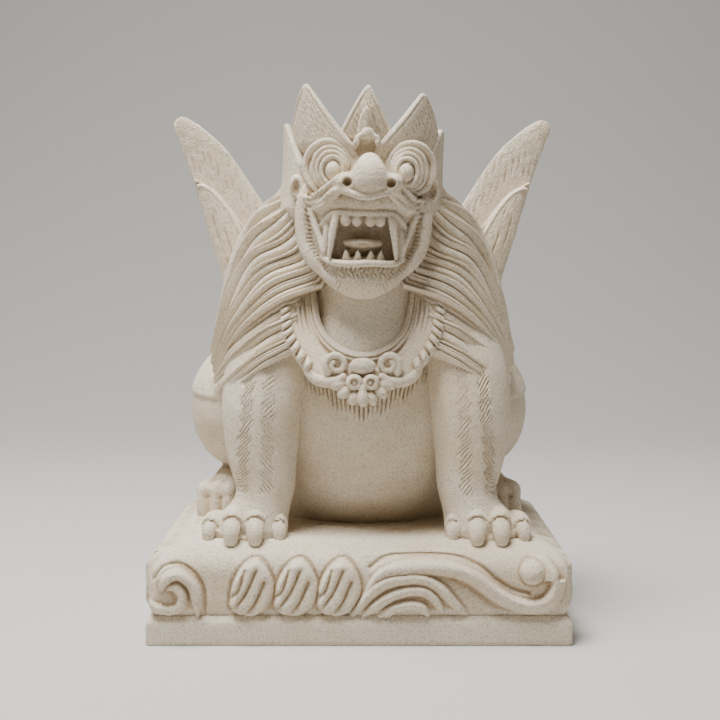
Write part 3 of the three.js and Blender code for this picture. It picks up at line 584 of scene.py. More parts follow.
class Block:
    """A block of stone kept as distances: every point of a grid, `grain` apart, holds its distance to the
    carved surface, less than zero inside the stone."""

    def __init__(self, low, high, grain):
        self.low = np.array(low, dtype=np.float32)
        self.grain = grain
        count = np.ceil((np.array(high) - self.low) / grain).astype(int) + 1
        self.away = np.full(count, 50.0, dtype=np.float32)

    def near(self, low, high, margin):
        """The part of the grid round a box, with the x, y and z of its points."""
        first = np.floor((np.array(low) - margin - self.low) / self.grain).astype(int)
        last = np.ceil((np.array(high) + margin - self.low) / self.grain).astype(int) + 1
        first, last = np.clip(first, 0, self.away.shape), np.clip(last, 0, self.away.shape)
        axes = [self.low[k] + self.grain * np.arange(first[k], last[k], dtype=np.float32) for k in range(3)]
        part = tuple(slice(a, b) for a, b in zip(first, last))
        return part, np.meshgrid(*axes, indexing="ij", sparse=True)

    def add(self, form, soft=0.3):
        """Joins a form on: the lesser of two distances, rounded where they differ by less than soft."""
        low, high, away = form
        part, places = self.near(low, high, soft + 3 * self.grain)
        here, there = self.away[part], away(*places)
        mix = np.clip(0.5 + 0.5 * (there - here) / soft, 0, 1)
        self.away[part] = there + (here - there) * mix - soft * mix * (1 - mix)

    def cut(self, form, soft=0.2):
        """Cuts a form away: the greater of the stone's distance and the form's distance turned round."""
        low, high, away = form
        part, places = self.near(low, high, soft + 3 * self.grain)
        here, there = self.away[part], -away(*places)
        mix = np.clip(0.5 - 0.5 * (there - here) / soft, 0, 1)
        self.away[part] = there + (here - there) * mix + soft * mix * (1 - mix)

    def surface(self):
        """The carved surface: one point in each cell of the grid that the surface crosses, at the mean
        of its crossings with the cell's edges, and one quad round each edge of the grid that it cuts."""
        away = self.away
        for axis in range(3):
            for end in (0, -1):
                face = np.moveaxis(away, axis, 0)[end]
                np.maximum(face, 0.3 * self.grain, out=face)
        stone = away < 0
        corners = [(i, j, k) for i in (0, 1) for j in (0, 1) for k in (0, 1)]
        cells = tuple(n - 1 for n in stone.shape)
        filled = sum(
            stone[i:i + cells[0], j:j + cells[1], k:k + cells[2]].astype(np.int8) for i, j, k in corners
        )
        active = (filled > 0) & (filled < 8)
        cell = np.argwhere(active)
        number = np.full(cells, -1, dtype=np.int64)
        number[active] = np.arange(len(cell))
        value = {c: away[cell[:, 0] + c[0], cell[:, 1] + c[1], cell[:, 2] + c[2]] for c in corners}
        total, hits = np.zeros((len(cell), 3)), np.zeros((len(cell), 1))
        for a in corners:
            for axis in range(3):
                if a[axis] == 0:
                    b = tuple(1 if k == axis else a[k] for k in range(3))
                    crossed = (value[a] < 0) != (value[b] < 0)
                    share = np.where(crossed, value[a] / np.where(crossed, value[a] - value[b], 1), 0)
                    place = np.tile(np.array(a, dtype=float), (len(cell), 1))
                    place[:, axis] = share
                    total += np.where(crossed[:, None], place, 0)
                    hits += crossed[:, None]
        points = self.low + self.grain * (cell + total / hits)
        quads = []
        for axis in range(3):
            u, v = (axis + 1) % 3, (axis + 2) % 3
            turned = np.moveaxis(stone, (axis, u, v), (0, 1, 2))
            edge = np.argwhere(turned[:-1, 1:-1, 1:-1] != turned[1:, 1:-1, 1:-1])
            inward = turned[edge[:, 0], edge[:, 1] + 1, edge[:, 2] + 1]
            around = []
            for du, dv in ((0, 0), (1, 0), (1, 1), (0, 1)):
                place = np.empty_like(edge)
                place[:, axis], place[:, u], place[:, v] = edge[:, 0], edge[:, 1] + du, edge[:, 2] + dv
                around.append(number[place[:, 0], place[:, 1], place[:, 2]])
            quad = np.stack(around, axis=-1)
            quads.append(np.where(inward[:, None], quad, quad[:, ::-1]))
        return points, triangles_of(np.concatenate(quads))


def ball(centre, radii, turn=(0, 0, 0)):
    """An oval: with p the place in radii, k = |p| and m = |p / radii|, its distance is k (k - 1) / m."""
    centre, radii = np.array(centre, dtype=np.float32), np.array(radii, dtype=np.float32)
    matrix = np.array(Euler(turn).to_matrix(), dtype=np.float32)
    reach = np.sqrt((matrix ** 2) @ (radii ** 2))

    def away(x, y, z):
        x, y, z = x - centre[0], y - centre[1], z - centre[2]
        p = [x * matrix[0, k] + y * matrix[1, k] + z * matrix[2, k] for k in range(3)]
        k = np.sqrt(sum((p[i] / radii[i]) ** 2 for i in range(3)))
        m = np.sqrt(sum((p[i] / radii[i] ** 2) ** 2 for i in range(3)))
        return k * (k - 1) / np.maximum(m, 1e-4)

    return centre - reach, centre + reach, away


def rod(rows, count=10, flat=(1, 1, 1)):
    """A round bar along rows of [x, y, z, radius]: the least distance to a chain of cones. A flat below
    1 thins it along that axis."""
    flat = np.array(flat, dtype=np.float32)
    rows = np.array(rows, dtype=float)
    line = path_through(rows, max(count, len(rows))).astype(np.float32)
    low = (line[:, :3] - line[:, 3:] * flat).min(axis=0)
    high = (line[:, :3] + line[:, 3:] * flat).max(axis=0)
    line[:, :3] /= flat

    def away(x, y, z):
        x, y, z = x / flat[0], y / flat[1], z / flat[2]
        best = None
        for a, b in zip(line[:-1], line[1:]):
            side = b[:3] - a[:3]
            px, py, pz = x - a[0], y - a[1], z - a[2]
            t = np.clip((px * side[0] + py * side[1] + pz * side[2]) / max(float(side @ side), 1e-6), 0, 1)
            reach = np.sqrt((px - t * side[0]) ** 2 + (py - t * side[1]) ** 2 + (pz - t * side[2]) ** 2)
            reach = reach - (a[3] + t * (b[3] - a[3]))
            best = reach if best is None else np.minimum(best, reach)
        return best * flat.min()

    return low, high, away


leg_rows = [
    (16, -8, 48, 11, 12), (21, -14, 38, 10.5, 12), (23, -18.5, 29, 9.6, 10), (23.4, -19.6, 19, 8.2, 8.6),
    (22.8, -20.4, 11, 6.8, 7.4), (23.6, -21.4, 6, 6.4, 7), (25.2, -23, 1, 8, 7.4)
]
for side, name in ((-1, "foreleg_left"), (1, "foreleg_right")):
    leg = limb(
        on_side(leg_rows, side), 170, fine_angles(math.pi / 2 + 0.15 * side, 0.95, 74, 20), round_ends=3
    )
    lx, lz = leg[..., 0] * side, leg[..., 2]
    front = smooth_step((-leg[..., 1] - 19.5) / 3)
    relief = np.zeros_like(lx)
    for middle, slope in ((26.7, 1.3), (21.6, -1.05)):
        drawn_in = middle - 0.09 * (lz - 24) * (1 if middle > 24 else 0.4)
        along = lx - drawn_in
        beat = (lz + slope * along + 0.25 * np.sin(0.9 * lz)) / 1.05
        line = np.abs(beat - np.round(beat)) * 1.05 / math.hypot(1, slope) * 1.3
        width = 1.5 + 0.4 * np.sin(1.7 * np.round(beat))
        relief -= (0.42 if middle > 24 else 0.32) * np.exp(-((line / 0.19) ** 2)) * smooth_step(
            (width - np.abs(along)) / 0.5)
    relief *= smooth_step((39.5 - lz) / 2) * smooth_step((lz - 8.5) / 2) * front
    relief += 0.09 * uneven(leg, 7.0)
    carved(name, *skin(fore_mm(swelled(leg, relief))), reach=1.0)

toe_fan = (-1.5, -0.5, 0.5, 1.5)
paw_middle = 27.0
toe_pitch = 4.9
toe_turn = 0.13
for side, name in ((-1, "forepaw_left"), (1, "forepaw_right")):
    edges = sorted((side * 14.5, side * 38.5))
    paw = Block((edges[0], -36, -1.2), (edges[1], -12, 12.5), 0.33)
    paw.add(rod(on_side([
        (22.6, -20.2, 12.5, 6.4), (23.4, -21.2, 7, 6.1), (25, -22.6, 2.5, 6.9)
    ], side)), 0.5)
    paw.add(ball((side * 26.8, -24.4, 1.6), (9.0, 6.0, 4.2)), 2.0)
    for fan in toe_fan:
        x, y = side * (paw_middle + toe_pitch * fan), -28 + 0.8 * fan * fan
        out_x, out_y = math.sin(side * toe_turn * fan), -math.cos(side * toe_turn * fan)
        size = 0.92 if abs(fan) > 1 else 1.18

        def spot(far, aside, z, *radius):
            return (
                x + (out_x * far - out_y * aside) * size, y + (out_y * far + out_x * aside) * size,
                z * size, *(r * size for r in radius)
            )

        # the toe ends in a hood, with a thick claw under it
        paw.add(rod([
            spot(-6.4, 0, 3.2, 2.0), spot(-2.4, 0, 3.8, 2.1), spot(0.0, 0, 3.4, 2.2), spot(0.6, 0, 2.4, 2.2)
        ]), 0.4)
        paw.add(rod([
            spot(0.6, 0, 2.5, 1.8), spot(1.7, 0, 2.1, 1.85), spot(2.6, 0, 1.1, 1.6), spot(2.9, 0, -0.3, 1.1)
        ]), 0.05)
        for a in np.linspace(-1.3, 1.3, 7):
            paw.add(ball(
                spot(0.95, 2.0 * math.sin(a), 2.5 + 2.0 * math.cos(a))[:3], np.full(3, 0.55 * size)
            ), 0.3)
        bow = np.linspace(-1.5, 1.5, 11)
        paw.cut(rod([spot(
            1.75, 2.05 * math.sin(a), 2.15 + 2.05 * math.cos(a), 0.34
        ) for a in bow], 11), 0.06)
    for gap in (-1, 0, 1):
        x = side * (paw_middle + toe_pitch * gap)
        apart = side * 0.3 * gap
        paw.cut(rod([
            (x - side * 0.1 * gap, -24.5, 6.2, 0.3), (x, -27.4, 4.8, 0.7), (x + apart, -29.4, 2.4, 0.9),
            (x + apart, -31.0, 0.6, 0.9)
        ]), 0.4)
    points, triangles = paw.surface()
    carved(name, fore_mm(points), triangles, reach=1.2, sharp=80)

# Haunches and hind paws
# Round thighs that stand out behind the forelegs, under a cape of hair that ends in a ledge, and the
# hind paws beneath them.

thigh_middle = np.array([28.8, 11, 25.4])
thigh_half = np.array([12.3, 17.5, 15.3])
thigh_lean = 0.1
hind_paw_middle = 31.1
hind_toe_pitch = 2.9
for side, name in ((-1, "haunch_left"), (1, "haunch_right")):
    edges = sorted((side * 12.0, side * 43.5))
    haunch = Block((edges[0], -11, -1.2), (edges[1], 34, 42), 0.66)
    haunch.add(ball(thigh_middle * (side, 1, 1), thigh_half, (0, -thigh_lean * side, 0)), 0.5)
    haunch.add(rod(on_side([
        (25.6, 26, 5, 6.6), (28.4, 15, 5.8, 7), (31.4, 3, 4.8, 5.6)
    ], side), flat=(1, 1, 0.95)), 1.2)
    for k in range(3):
        x, y, turn = side * (hind_paw_middle + hind_toe_pitch * k), -2.6 + 0.9 * k, side * (0.05 + 0.15 * k)
        out_x, out_y = math.sin(turn), -math.cos(turn)
        haunch.add(rod([(x - out_x * 6, y - out_y * 6, 6.6, 1.9), (x, y, 6.6, 1.75),
                        (x + out_x * 0.9, y + out_y * 0.9, 5.6, 1.7)]), 0.3)
        haunch.add(rod([
            (x + out_x * 0.8, y + out_y * 0.8, 5.4, 1.6), (x + out_x * 1.2, y + out_y * 1.2, 3.4, 1.65),
            (x + out_x * 1.3, y + out_y * 1.3, 0.4, 1.55)
        ]), 0.1)
        haunch.cut(rod([(
            x + out_x * (2.8 - 0.5 * s * s) - out_y * s, y + out_y * (2.8 - 0.5 * s * s) + out_x * s,
            5.5 - 0.7 * abs(s), 0.3
        ) for s in (-1.5, -0.8, 0, 0.8, 1.5)]), 0.1)
    for k in (0.5, 1.5):
        x, y = hind_paw_middle + hind_toe_pitch * k, -4.6 + 0.9 * k
        haunch.cut(rod(on_side([
            (x, y, 6.4, 0.3), (x + 0.1, y - 1, 3.6, 0.45), (x + 0.1, y - 1, 0.4, 0.45)
        ], side)), 0.2)
    points, triangles = haunch.surface()
    carved(name, figure_mm(points), triangles, reach=1.4, sharp=80)

cape_turn = np.linspace(-1.95, 2.2, 150)
cape_rise = np.linspace(0.0, 1.0, 44)
for side, name in ((-1, "thigh_cape_left"), (1, "thigh_cape_right")):
    rise, turn = np.meshgrid(cape_rise, cape_turn, indexing="ij")
    hem = 0.12 + 0.05 * np.sin(2.2 * turn) + 0.02 * np.abs(np.sin(9 * turn))
    climb = hem + (1.42 - hem) * rise
    lift = smooth_step(rise / 0.07) * smooth_step((1 - rise) / 0.3)
    lift = lift * smooth_step((turn - cape_turn[0]) / 0.2) * smooth_step((cape_turn[-1] - turn) / 0.2)
    strand = np.abs((turn * 13 - 2.4 * rise) % 1 - 0.5) * 2
    scored = smooth_step(1 - strand / 0.5) * smooth_step((0.55 - rise) / 0.15) * smooth_step(rise / 0.03)
    lift = lift - 0.34 * scored
    out = np.stack([
        side * np.cos(climb) * np.cos(turn), np.cos(climb) * np.sin(turn), np.sin(climb)
    ], axis=-1)
    middle = thigh_middle * (side, 1, 1)
    off = out * (thigh_half + lift[..., None] - 0.25)
    lean = -thigh_lean * side
    shell = middle + np.stack([off[..., 0] * math.cos(lean) + off[..., 2] * math.sin(lean), off[..., 1],
                               off[..., 2] * math.cos(lean) - off[..., 0] * math.sin(lean)], axis=-1)
    core = shell + (middle - shell) * 0.12
    carved(name, *skin(figure_mm(np.concatenate([shell, core[:, ::-1]], axis=1)), ends="seam"), reach=1.2)

# Tail
# A ribbed stem that rises against the lion's back and opens into a tuft of three flames. It is never
# undercut, so it stays one with the stone of the back.

around_tail = np.linspace(0, 2 * math.pi, 40, endpoint=False)
stem_rows = [(0, 28, 2, 2.6, 2.6), (1, 29.5, 14, 2.4, 2.4), (-0.8, 29, 26, 2.2, 2.2), (0.6, 25.5, 38, 2, 2)]
stem = limb(stem_rows, 60, around_tail)
carved("tail_stem", *skin(figure_mm(swelled(stem, 0.16 * np.cos(6 * around_tail + 0.25 * stem[..., 2])))))
for number, (x, top) in enumerate(((-4.5, 50), (0, 57), (4.5, 50))):
    flame_rows = [(0.4 + x * 0.2, 24.5, 36, 1.6, 1.6), (x * 0.9, 23.8, 44, 2.6, 1.9),
                  (x * 0.8 + 0.6, 22.6, top - 3, 1.3, 1.2), (x * 0.6, 22, top, 0.3, 0.3)]
    flame = limb(flame_rows, 44, around_tail)
    ribs = 0.22 * np.cos(7 * around_tail) * smooth_step((top - flame[..., 2]) / 6)
    carved(f"tail_flame_{number + 1}", *skin(figure_mm(swelled(flame, ribs))))

# Wings
# A flat blade of pinions on each side, with a shorter layer of coverts whose edge is a raised rib. The
# feathers are only incised: short slanting cuts on the pinions, longer ones on the coverts.


def blade(outer, inner, thick, steps, across):
    """A sheet between two edges, its front and back as grids [along, across, xyz]: half the thickness
    each way, times a lens that is 0.5 at the edges and 1 in the middle."""
    a, b = path_through(outer, steps), path_through(inner, steps)
    s = np.linspace(0, 1, across)[None, :, None]
    sheet = a[:, None] * (1 - s) + b[:, None] * s
    lens = 0.5 + 0.5 * np.sin(np.pi * s[..., 0]) ** 0.5
    half = np.linspace(thick[0], thick[1], steps)[:, None] / 2 * lens
    lift = np.stack([np.zeros_like(half), half, np.zeros_like(half)], axis=-1)
    return sheet - lift, sheet + lift


pinion_outer = [
    (30, 12, 44), (33.4, 9, 57.5), (36.6, 8, 68), (40, 8, 80), (43.4, 8, 89.6), (44.6, 8, 92.8),
    (44.6, 8, 94.2), (43.8, 8, 95.2), (43.1, 8, 95.5)
]
pinion_inner = [
    (13, 10, 52), (18.2, 9, 66), (23.5, 8.5, 75), (31.5, 8, 87), (37.6, 8, 92.8), (39.6, 8, 94.2),
    (40.8, 8, 94.9), (41.8, 8, 95.4), (42.7, 8, 95.6)
]
covert_outer = [(30, 8, 44), (33.2, 7.2, 57.5), (36.4, 7, 68), (39.2, 7.2, 77.5), (39.9, 7.4, 80)]
covert_inner = [(14, 8, 50), (20, 7.2, 58), (26.6, 7, 67.4), (33.8, 7, 77), (39.5, 7.4, 80.6)]
rib_line = [(39.8, 80.2), (37.4, 80.4), (34.2, 78.6), (30.4, 74), (27.2, 68.6), (22.4, 61)]
for side, name, place in ((-1, "wing_left", (0, 0, 0)), (1, "wing_right", (1.4, 0, -0.8))):
    front, back = blade(pinion_outer, pinion_inner, (4, 2.0), 130, 44)
    for face, sign in ((front, -1), (back, 1)):
        x, z = face[..., 0], face[..., 2]
        along, across = 0.94 * z + 0.33 * x, 0.94 * x - 0.33 * z
        apart, _ = line_distance(x, z, path_through(rib_line, 30))
        cuts = dashes(across + 0.004 * (z - 60) ** 2, along, 1.35, 6.2, 0.17, 0.2)
        rim = smooth_step((apart - 1.1) / 0.8) * smooth_step((91 - z) / 6)
        face[..., 1] += sign * (0.10 * uneven(face, 6.0) - cuts * rim)
    shell = np.concatenate([on_side(front, side), on_side(back, side)[:, ::-1]], axis=1)
    carved(name, *skin(figure_mm(shell + place), ends="seam"), reach=0.8)
    front, back = blade(covert_outer, covert_inner, (7, 4.0), 96, 46)
    for face, sign in ((front, -1), (back, 1)):
        x, z = face[..., 0], face[..., 2]
        apart, _ = line_distance(x, z, path_through(rib_line, 30))
        rib = 0.6 * np.exp(-((apart / 0.4) ** 2)) - 0.4 * np.exp(-(((apart - 0.85) / 0.3) ** 2))
        rib = rib + 0.3 * np.exp(-(((apart - 1.5) / 0.35) ** 2))
        along, across = 0.93 * z + 0.36 * x, 0.93 * x - 0.36 * z
        cuts = dashes(
            across + 0.006 * (z - 62) ** 2, along, 1.9, 11, 0.2, 0.28
        ) * smooth_step((apart - 2.4) / 0.8)
        face[..., 1] += sign * (rib - cuts + 0.08 * uneven(face, 5.0))
    shell = np.concatenate([on_side(front, side), on_side(back, side)[:, ::-1]], axis=1)
    carved(f"{name}_coverts", *skin(figure_mm(shell + place), ends="seam"), reach=0.8)

# Mane
# Heavy waving locks that run from the face over the shoulders and down the back, cut as rounded crests
# with deep V grooves between them and fine lines along each lock. A lower tier lies on the upper arms.

mane_shift = -0.8
upper_guides = np.array([
    [(0, 2, 82), (0, 12, 74), (0, 19, 60), (0, 22, 44)],
    [(9, 1, 82), (11, 11, 74), (13, 18.5, 60), (13, 21, 43)],
    [(16, -6, 79), (21.6, 4, 71), (25.6, 11, 58), (26.6, 13, 42)],
    [(17, -12, 75), (23.8, -7, 70.5), (30.2, 0, 59), (33.3, 3, 43)],
    [(15.8, -17, 72.5), (23.2, -14.7, 67), (30.2, -9.5, 54.6), (34.6, -3, 40)],
    [(14, -19, 63), (22, -19.5, 58), (29.8, -15.5, 48.5), (34.4, -7, 36)],
    [(9, -21.5, 55), (18, -23.5, 51.5), (27.2, -20.5, 44.5), (33.6, -10, 34)],
], dtype=float)
lower_guides = np.array([
    [(13, -20.3, 54.5), (19, -21.8, 51.5), (27.6, -18.6, 45), (34.2, -7.5, 37.5)],
    [(14.5, -23.4, 48), (21, -24.8, 44.5), (28.6, -21.2, 38.6), (34.2, -10, 32.4)],
    [(15, -25.8, 41.5), (21.5, -27, 38), (28.2, -24.5, 32.5), (32.6, -14, 27.5)],
], dtype=float)
lock_samples = np.array([0, 0.07, 0.19, 0.33, 0.5, 0.66, 0.81, 0.93])


def blended(rows, t):
    """Rows [n, m, xyz] blended across n by a Catmull-Rom line, at a place t from 0 to 1 for each m."""
    place = np.clip(t, 0, 1) * (len(rows) - 1)
    i = np.minimum(place.astype(int), len(rows) - 2)
    f = (place - i)[..., None]
    m = np.broadcast_to(np.arange(rows.shape[1]), t.shape)
    before, after = rows[np.maximum(i - 1, 0), m], rows[np.minimum(i + 2, len(rows) - 1), m]
    return between(before, rows[i, m], rows[i + 1, m], after, f)


def locks_of_hair(guides, count, steps, rise, wave, bias):
    """Locks side by side on a sheet through the guides, as a grid [along, across, xyz]. The line of a
    lock sways by wave * sin(along), its section is 1 - |2w - 1|^2.4, every third one has a fine line cut
    in it, and the locks lie higher and lower by turns."""
    u = np.linspace(0, 1, steps)
    lines = path_through(np.transpose(guides, (1, 0, 2)), steps).transpose(1, 0, 2)
    lock = np.concatenate([(k + lock_samples) for k in range(count)] + [[count]])
    w = lock % 1
    number = np.minimum(lock.astype(int), count - 1)
    middle = np.sin(np.pi * lock / count)[:, None]
    shuffle = 0.3 * np.sin(2.39 * lock) / count
    bend = 2 * np.pi * (1.75 * u[None] + 0.14 * np.sin(0.47 * lock[:, None]) + 0.02)
    sway = wave * np.sin(bend) * (0.45 + 0.55 * u[None]) * middle
    t = lock[:, None] / count + shuffle[:, None] * middle + sway
    sheet = blended(lines, t)
    along = np.gradient(sheet, axis=1)
    across = np.gradient(sheet, axis=0)
    outward = np.cross(across, along)
    outward /= np.maximum(np.linalg.norm(outward, axis=2, keepdims=True), 1e-9)
    crest = 1 - np.abs(2 * w - 1) ** 2.4
    fine = np.exp(-(((w - 0.5) / 0.08) ** 2)) * (number % 3 == 1)
    height = rise * (0.85 + 0.3 * np.sin(2.1 * number + 0.7)) * crest
    thick = (0.75 + 0.25 * np.sin(np.pi * np.clip(u * 1.15, 0, 1)))[None]
    swell = bias * np.sin(2 * np.pi * (lock[:, None] / 3.7 + 0.7 * u[None]))
    height = height[:, None] * thick - (0.4 * fine)[:, None] + swell * middle
    tips = smooth_step((u[None] - 0.93) / 0.07) * (1.2 - crest[:, None])
    return (sheet + outward * (height - 1.6 * tips)[..., None]).transpose(1, 0, 2)


upper = locks_of_hair(upper_guides, 34, 84, 1.6, 0.036, 0.5)
inner_neck = np.stack([np.full(len(upper), 7.0), np.full(len(upper), -8.0), upper[:, -1, 2]], axis=-1)
right = np.concatenate([upper, inner_neck[:, None]], axis=1)
ring = np.concatenate([on_side(right, -1)[:, ::-1], right[:, 1:]], axis=1)
ring[..., 0] += mane_shift
tuck = ring[-1:] * (0.93, 0.93, 1) + (0, 0, -1.2)
carved("mane", *skin(fore_mm(np.concatenate([ring, tuck]))), reach=1.6)

for side, name in ((-1, "mane_lower_left"), (1, "mane_lower_right")):
    lower = locks_of_hair(lower_guides, 9, 64, 1.3, 0.012, 0.25)
    backing = lower[:, [-1, 0]] * (0.62, 0.62, 0.95)
    shell = on_side(np.concatenate([lower, backing], axis=1), side) + (mane_shift, 0, 0)
    carved(name, *skin(fore_mm(shell)), reach=1.4)

# Collar
# A broad bib round the neck with a double rolled inner edge, folds at the sides and a braid of slanting
# beads along its outer edge. Under the throat two scrolls hold a boss, with a flower hanging from it.

bib_inner = [(11.4, -16.5, 58), (11, -20.4, 52), (9.4, -23.8, 46), (5.4, -26.8, 41.9), (0, -27.8, 40.4)]
bib_outer = [
    (17.4, -17.5, 57), (17.2, -23.0, 50.5), (15.6, -26.2, 43.2), (9.0, -29.2, 35.6), (0, -30.4, 33.8)
]


def mirrored(rows):
    """Rows from the right flank to the middle, led by the same rows on the left flank."""
    return np.concatenate([on_side(rows, -1), np.array(rows, dtype=float)[:-1][::-1]])


bib_steps = 320
bib_beads = 36
bib_t, bib_s = np.meshgrid(np.linspace(0, 1, bib_steps), np.linspace(-0.12, 1.2, 64), indexing="ij")
bib_a, bib_b = path_through(mirrored(bib_inner), bib_steps), path_through(mirrored(bib_outer), bib_steps)
bib = bib_a[:, None] * (1 - bib_s[..., None]) + bib_b[:, None] * bib_s[..., None]
flank = np.abs(2 * bib_t - 1)
middle = smooth_step((0.5 - flank) / 0.25)
rolls = 1.3 * np.sqrt(np.clip(1 - ((bib_s - 0.02) / 0.075) ** 2, 0, 1)) + 1.0 * np.sqrt(
    np.clip(1 - ((bib_s - 0.15) / 0.06) ** 2, 0, 1))
folds = 0.35 * np.cos(2 * np.pi * (bib_s - 0.08) / 0.16) * smooth_step((flank - 0.45) / 0.2) * (bib_s > 0.2)
folds = folds * smooth_step((0.7 - bib_s) / 0.1)
bead = np.abs(((bib_t * bib_beads + bib_s * 1.2 * np.sign(bib_t - 0.5)) % 1) - 0.5) * 2
braid = 2.1 * np.sqrt(np.clip(1 - bead ** 2, 0, 1)) * np.sqrt(np.clip(1 - ((bib_s - 0.98) / 0.2) ** 2, 0, 1))
braid = braid * smooth_step((flank - 0.3) / 0.05)
wedge = middle * smooth_step((bib_s - 0.2) / 0.03) * smooth_step((0.5 - 0.5 * flank - bib_s) / 0.05)
field = 0.9 + 0.25 * np.sin(np.pi * np.clip((bib_s - 0.25) / 0.7, 0, 1)) - 1.5 * wedge
edge = smooth_step((1.06 - bib_s) / 0.1)
proud = np.maximum(np.maximum(field + folds, rolls + 0.2) * edge, braid + 0.3 * edge)
proud = proud * smooth_step((bib_s + 0.12) / 0.06) - 0.6
bib = bib - np.stack([np.zeros_like(proud), proud, np.zeros_like(proud)], axis=-1)
bib_back = bib[:, ::-1][:, ::24] + (0, 5, 0)
bib_shell = np.concatenate([bib, bib_back], axis=1) + (mane_shift, 0, 0)
carved("collar_bib", *skin(fore_mm(bib_shell)), reach=1.0)

jewel = Block((-15, -35, 27.5), (15, -25, 43.5), 0.26)
for side in (-1, 1):
    spiral_turn = np.linspace(0, 2 * np.pi * 1.25, 20)
    reach = 2.5 * (1 - 0.66 * spiral_turn / spiral_turn[-1])
    spiral = np.stack([side * (5.7 - reach * np.cos(spiral_turn + 2.4)), -30.0 - 0.5 * spiral_turn / 8,
                       38.6 - reach * np.sin(spiral_turn + 2.4), 0.85 - 0.05 * spiral_turn], axis=-1)
    jewel.add(rod(spiral, 40), 0.12)
    jewel.add(ball((side * 5.7, -29.2, 38.6), (2.5, 1.0, 2.5)), 0.3)
    jewel.add(rod(on_side([
        (13.0, -27.6, 39.2, 0.7), (11.6, -28.4, 36.4, 1.1), (9.2, -29.2, 34.9, 1.3),
        (6.0, -30.2, 34.9, 1.1), (4.2, -30.6, 36.0, 0.8)
    ], side), 14), 0.3)
    jewel.add(ball((side * 1.8, -31.2, 34.8), (1.9, 1.3, 1.8)), 0.15)
    jewel.cut(ball((side * 1.75, -32.6, 34.8), (1.05, 1.2, 1.05)), 0.12)
    jewel.add(ball((side * 1.7, -31.6, 34.7), (0.5, 0.6, 0.5)), 0.1)
    jewel.add(ball((side * 5.3, -30.4, 34.2), (1.9, 1.2, 1.2), (0, side * 0.3, 0)), 0.12)
    jewel.add(ball((side * 4.0, -30.8, 32.5), (1.7, 1.2, 1.2), (0, side * 0.7, 0)), 0.12)
    jewel.add(ball((side * 2.0, -31.0, 31.3), (1.2, 1.2, 1.7), (0, -side * 0.4, 0)), 0.12)
jewel.add(ball((0, -30.4, 38.3), (2.9, 1.5, 1.8)), 0.15)
jewel.cut(rod([(-1.6, -32.2, 37.7, 0.3), (0, -32.4, 37.4, 0.5), (1.6, -32.2, 37.7, 0.3)]), 0.12)
jewel.add(ball((0, -31.6, 31.4), (1.3, 1.3, 2.0)), 0.12)
jewel.add(ball((0, -31.4, 33.4), (1.0, 1.0, 1.0)), 0.2)
jewel.add(ball((0, -29, 34.4), (6.6, 1.3, 3.6)), 0.4)
points, triangles = jewel.surface()
carved("collar_pendant", fore_mm(points + (mane_shift, 0, 0)), triangles, reach=1.0, sharp=80)

# Head
# A broad mask: ringed bulging eyes, a heavy nose, a rippled upper lip over an open mouth with peg teeth,
# fangs and tongue, a stippled beard and a thick ring of jaw from ear to chin.

head_shift = -0.8
head_lean = 0.026
neck_height = 62.0


def head_mm(points):
    """The leaning head's own places in millimetres: turned a little about the neck, then set on the
    forepart."""
    x, y, z = np.moveaxis(np.asarray(points, dtype=float), -1, 0)
    x, z = x + head_shift, z - neck_height
    sin, cos = math.sin(head_lean), math.cos(head_lean)
    return fore_mm(np.stack([x * cos + z * sin, y, z * cos - x * sin + neck_height], axis=-1))


skull_rows = np.array([
    (52.5, 3.5, 14.5), (54, 5.4, 16.2), (56.4, 7.8, 17.4), (60, 10.8, 18.4), (66, 13.2, 18.2),
    (73, 14.0, 18.0), (79, 14.0, 15.4), (85, 13.4, 12.7), (90, 10.5, 10.2), (93, 6.5, 7)
])


def mask(x, y, z):
    """The plain mask before carving: squarish ovals round an upright line, half as wide and as deep at
    each height as the rows say."""
    smooth = path_through(skull_rows, 60)
    half = np.interp(z, smooth[:, 0], smooth[:, 1])
    deep = np.interp(z, smooth[:, 0], smooth[:, 2])
    square = 2.75
    k = ((np.abs(x) / half) ** square + (np.abs(y + 12) / deep) ** square) ** (1 / square)
    return np.maximum((k - 1) * np.minimum(half, deep) * 0.9, np.maximum(53 - z, z - 88.8))


head = Block((-18.5, -38, 50.5), (18.5, -9, 93.5), 0.29)
head.add(((-15, -31, 53), (15, -10, 88.8), mask), 0.3)
back_rows = [(0, -4, 60, 11), (0, -3.5, 72, 13.4), (0, -5, 78, 13.4), (0, -7.4, 81.4, 12.6)]
carved("skull_back", *skin(head_mm(limb(
    [(*row, row[3]) for row in back_rows], 40, np.linspace(0, 2 * np.pi, 48, endpoint=False)
))))
nose_x = 1.0
for side in (-1, 1):
    # swelling under the eyes
    head.add(ball((nose_x + side * 8.4, -22.6, 80.6), (5.4, 3.2, 5.4)), 1.0)
    # jaw ring
    head.add(rod(on_side([
        (12.0, -22.4, 77.2, 1.2), (13.1, -23.0, 74.4, 1.7), (13.4, -23.4, 69.6, 1.8),
        (12.7, -24.0, 64.8, 1.8), (10.8, -25.0, 61.2, 1.8), (8.6, -25.8, 58.8, 1.4), (6.4, -26.4, 57.4, 0.8)
    ], side), 20), 0.4)
    # hollow of the cheek between the jaw ring and the fang
    head.cut(rod(on_side([
        (10.9, -29.4, 71.0, 0.7), (10.6, -28.4, 67.4, 2.0), (9.6, -29.0, 63.2, 1.9)
    ], side), flat=(1, 1.7, 1)), 0.3)
# open mouth
head.cut(((-8.6, -45, 60.0), (8.6, -23.4, 72.4), lambda x, y, z: np.maximum(
    np.maximum(np.abs(x) - 7.3 + 0.15 * (z - 61.6), np.abs(z - 66.2) - 5.6), y + 23.4)), 0.9)
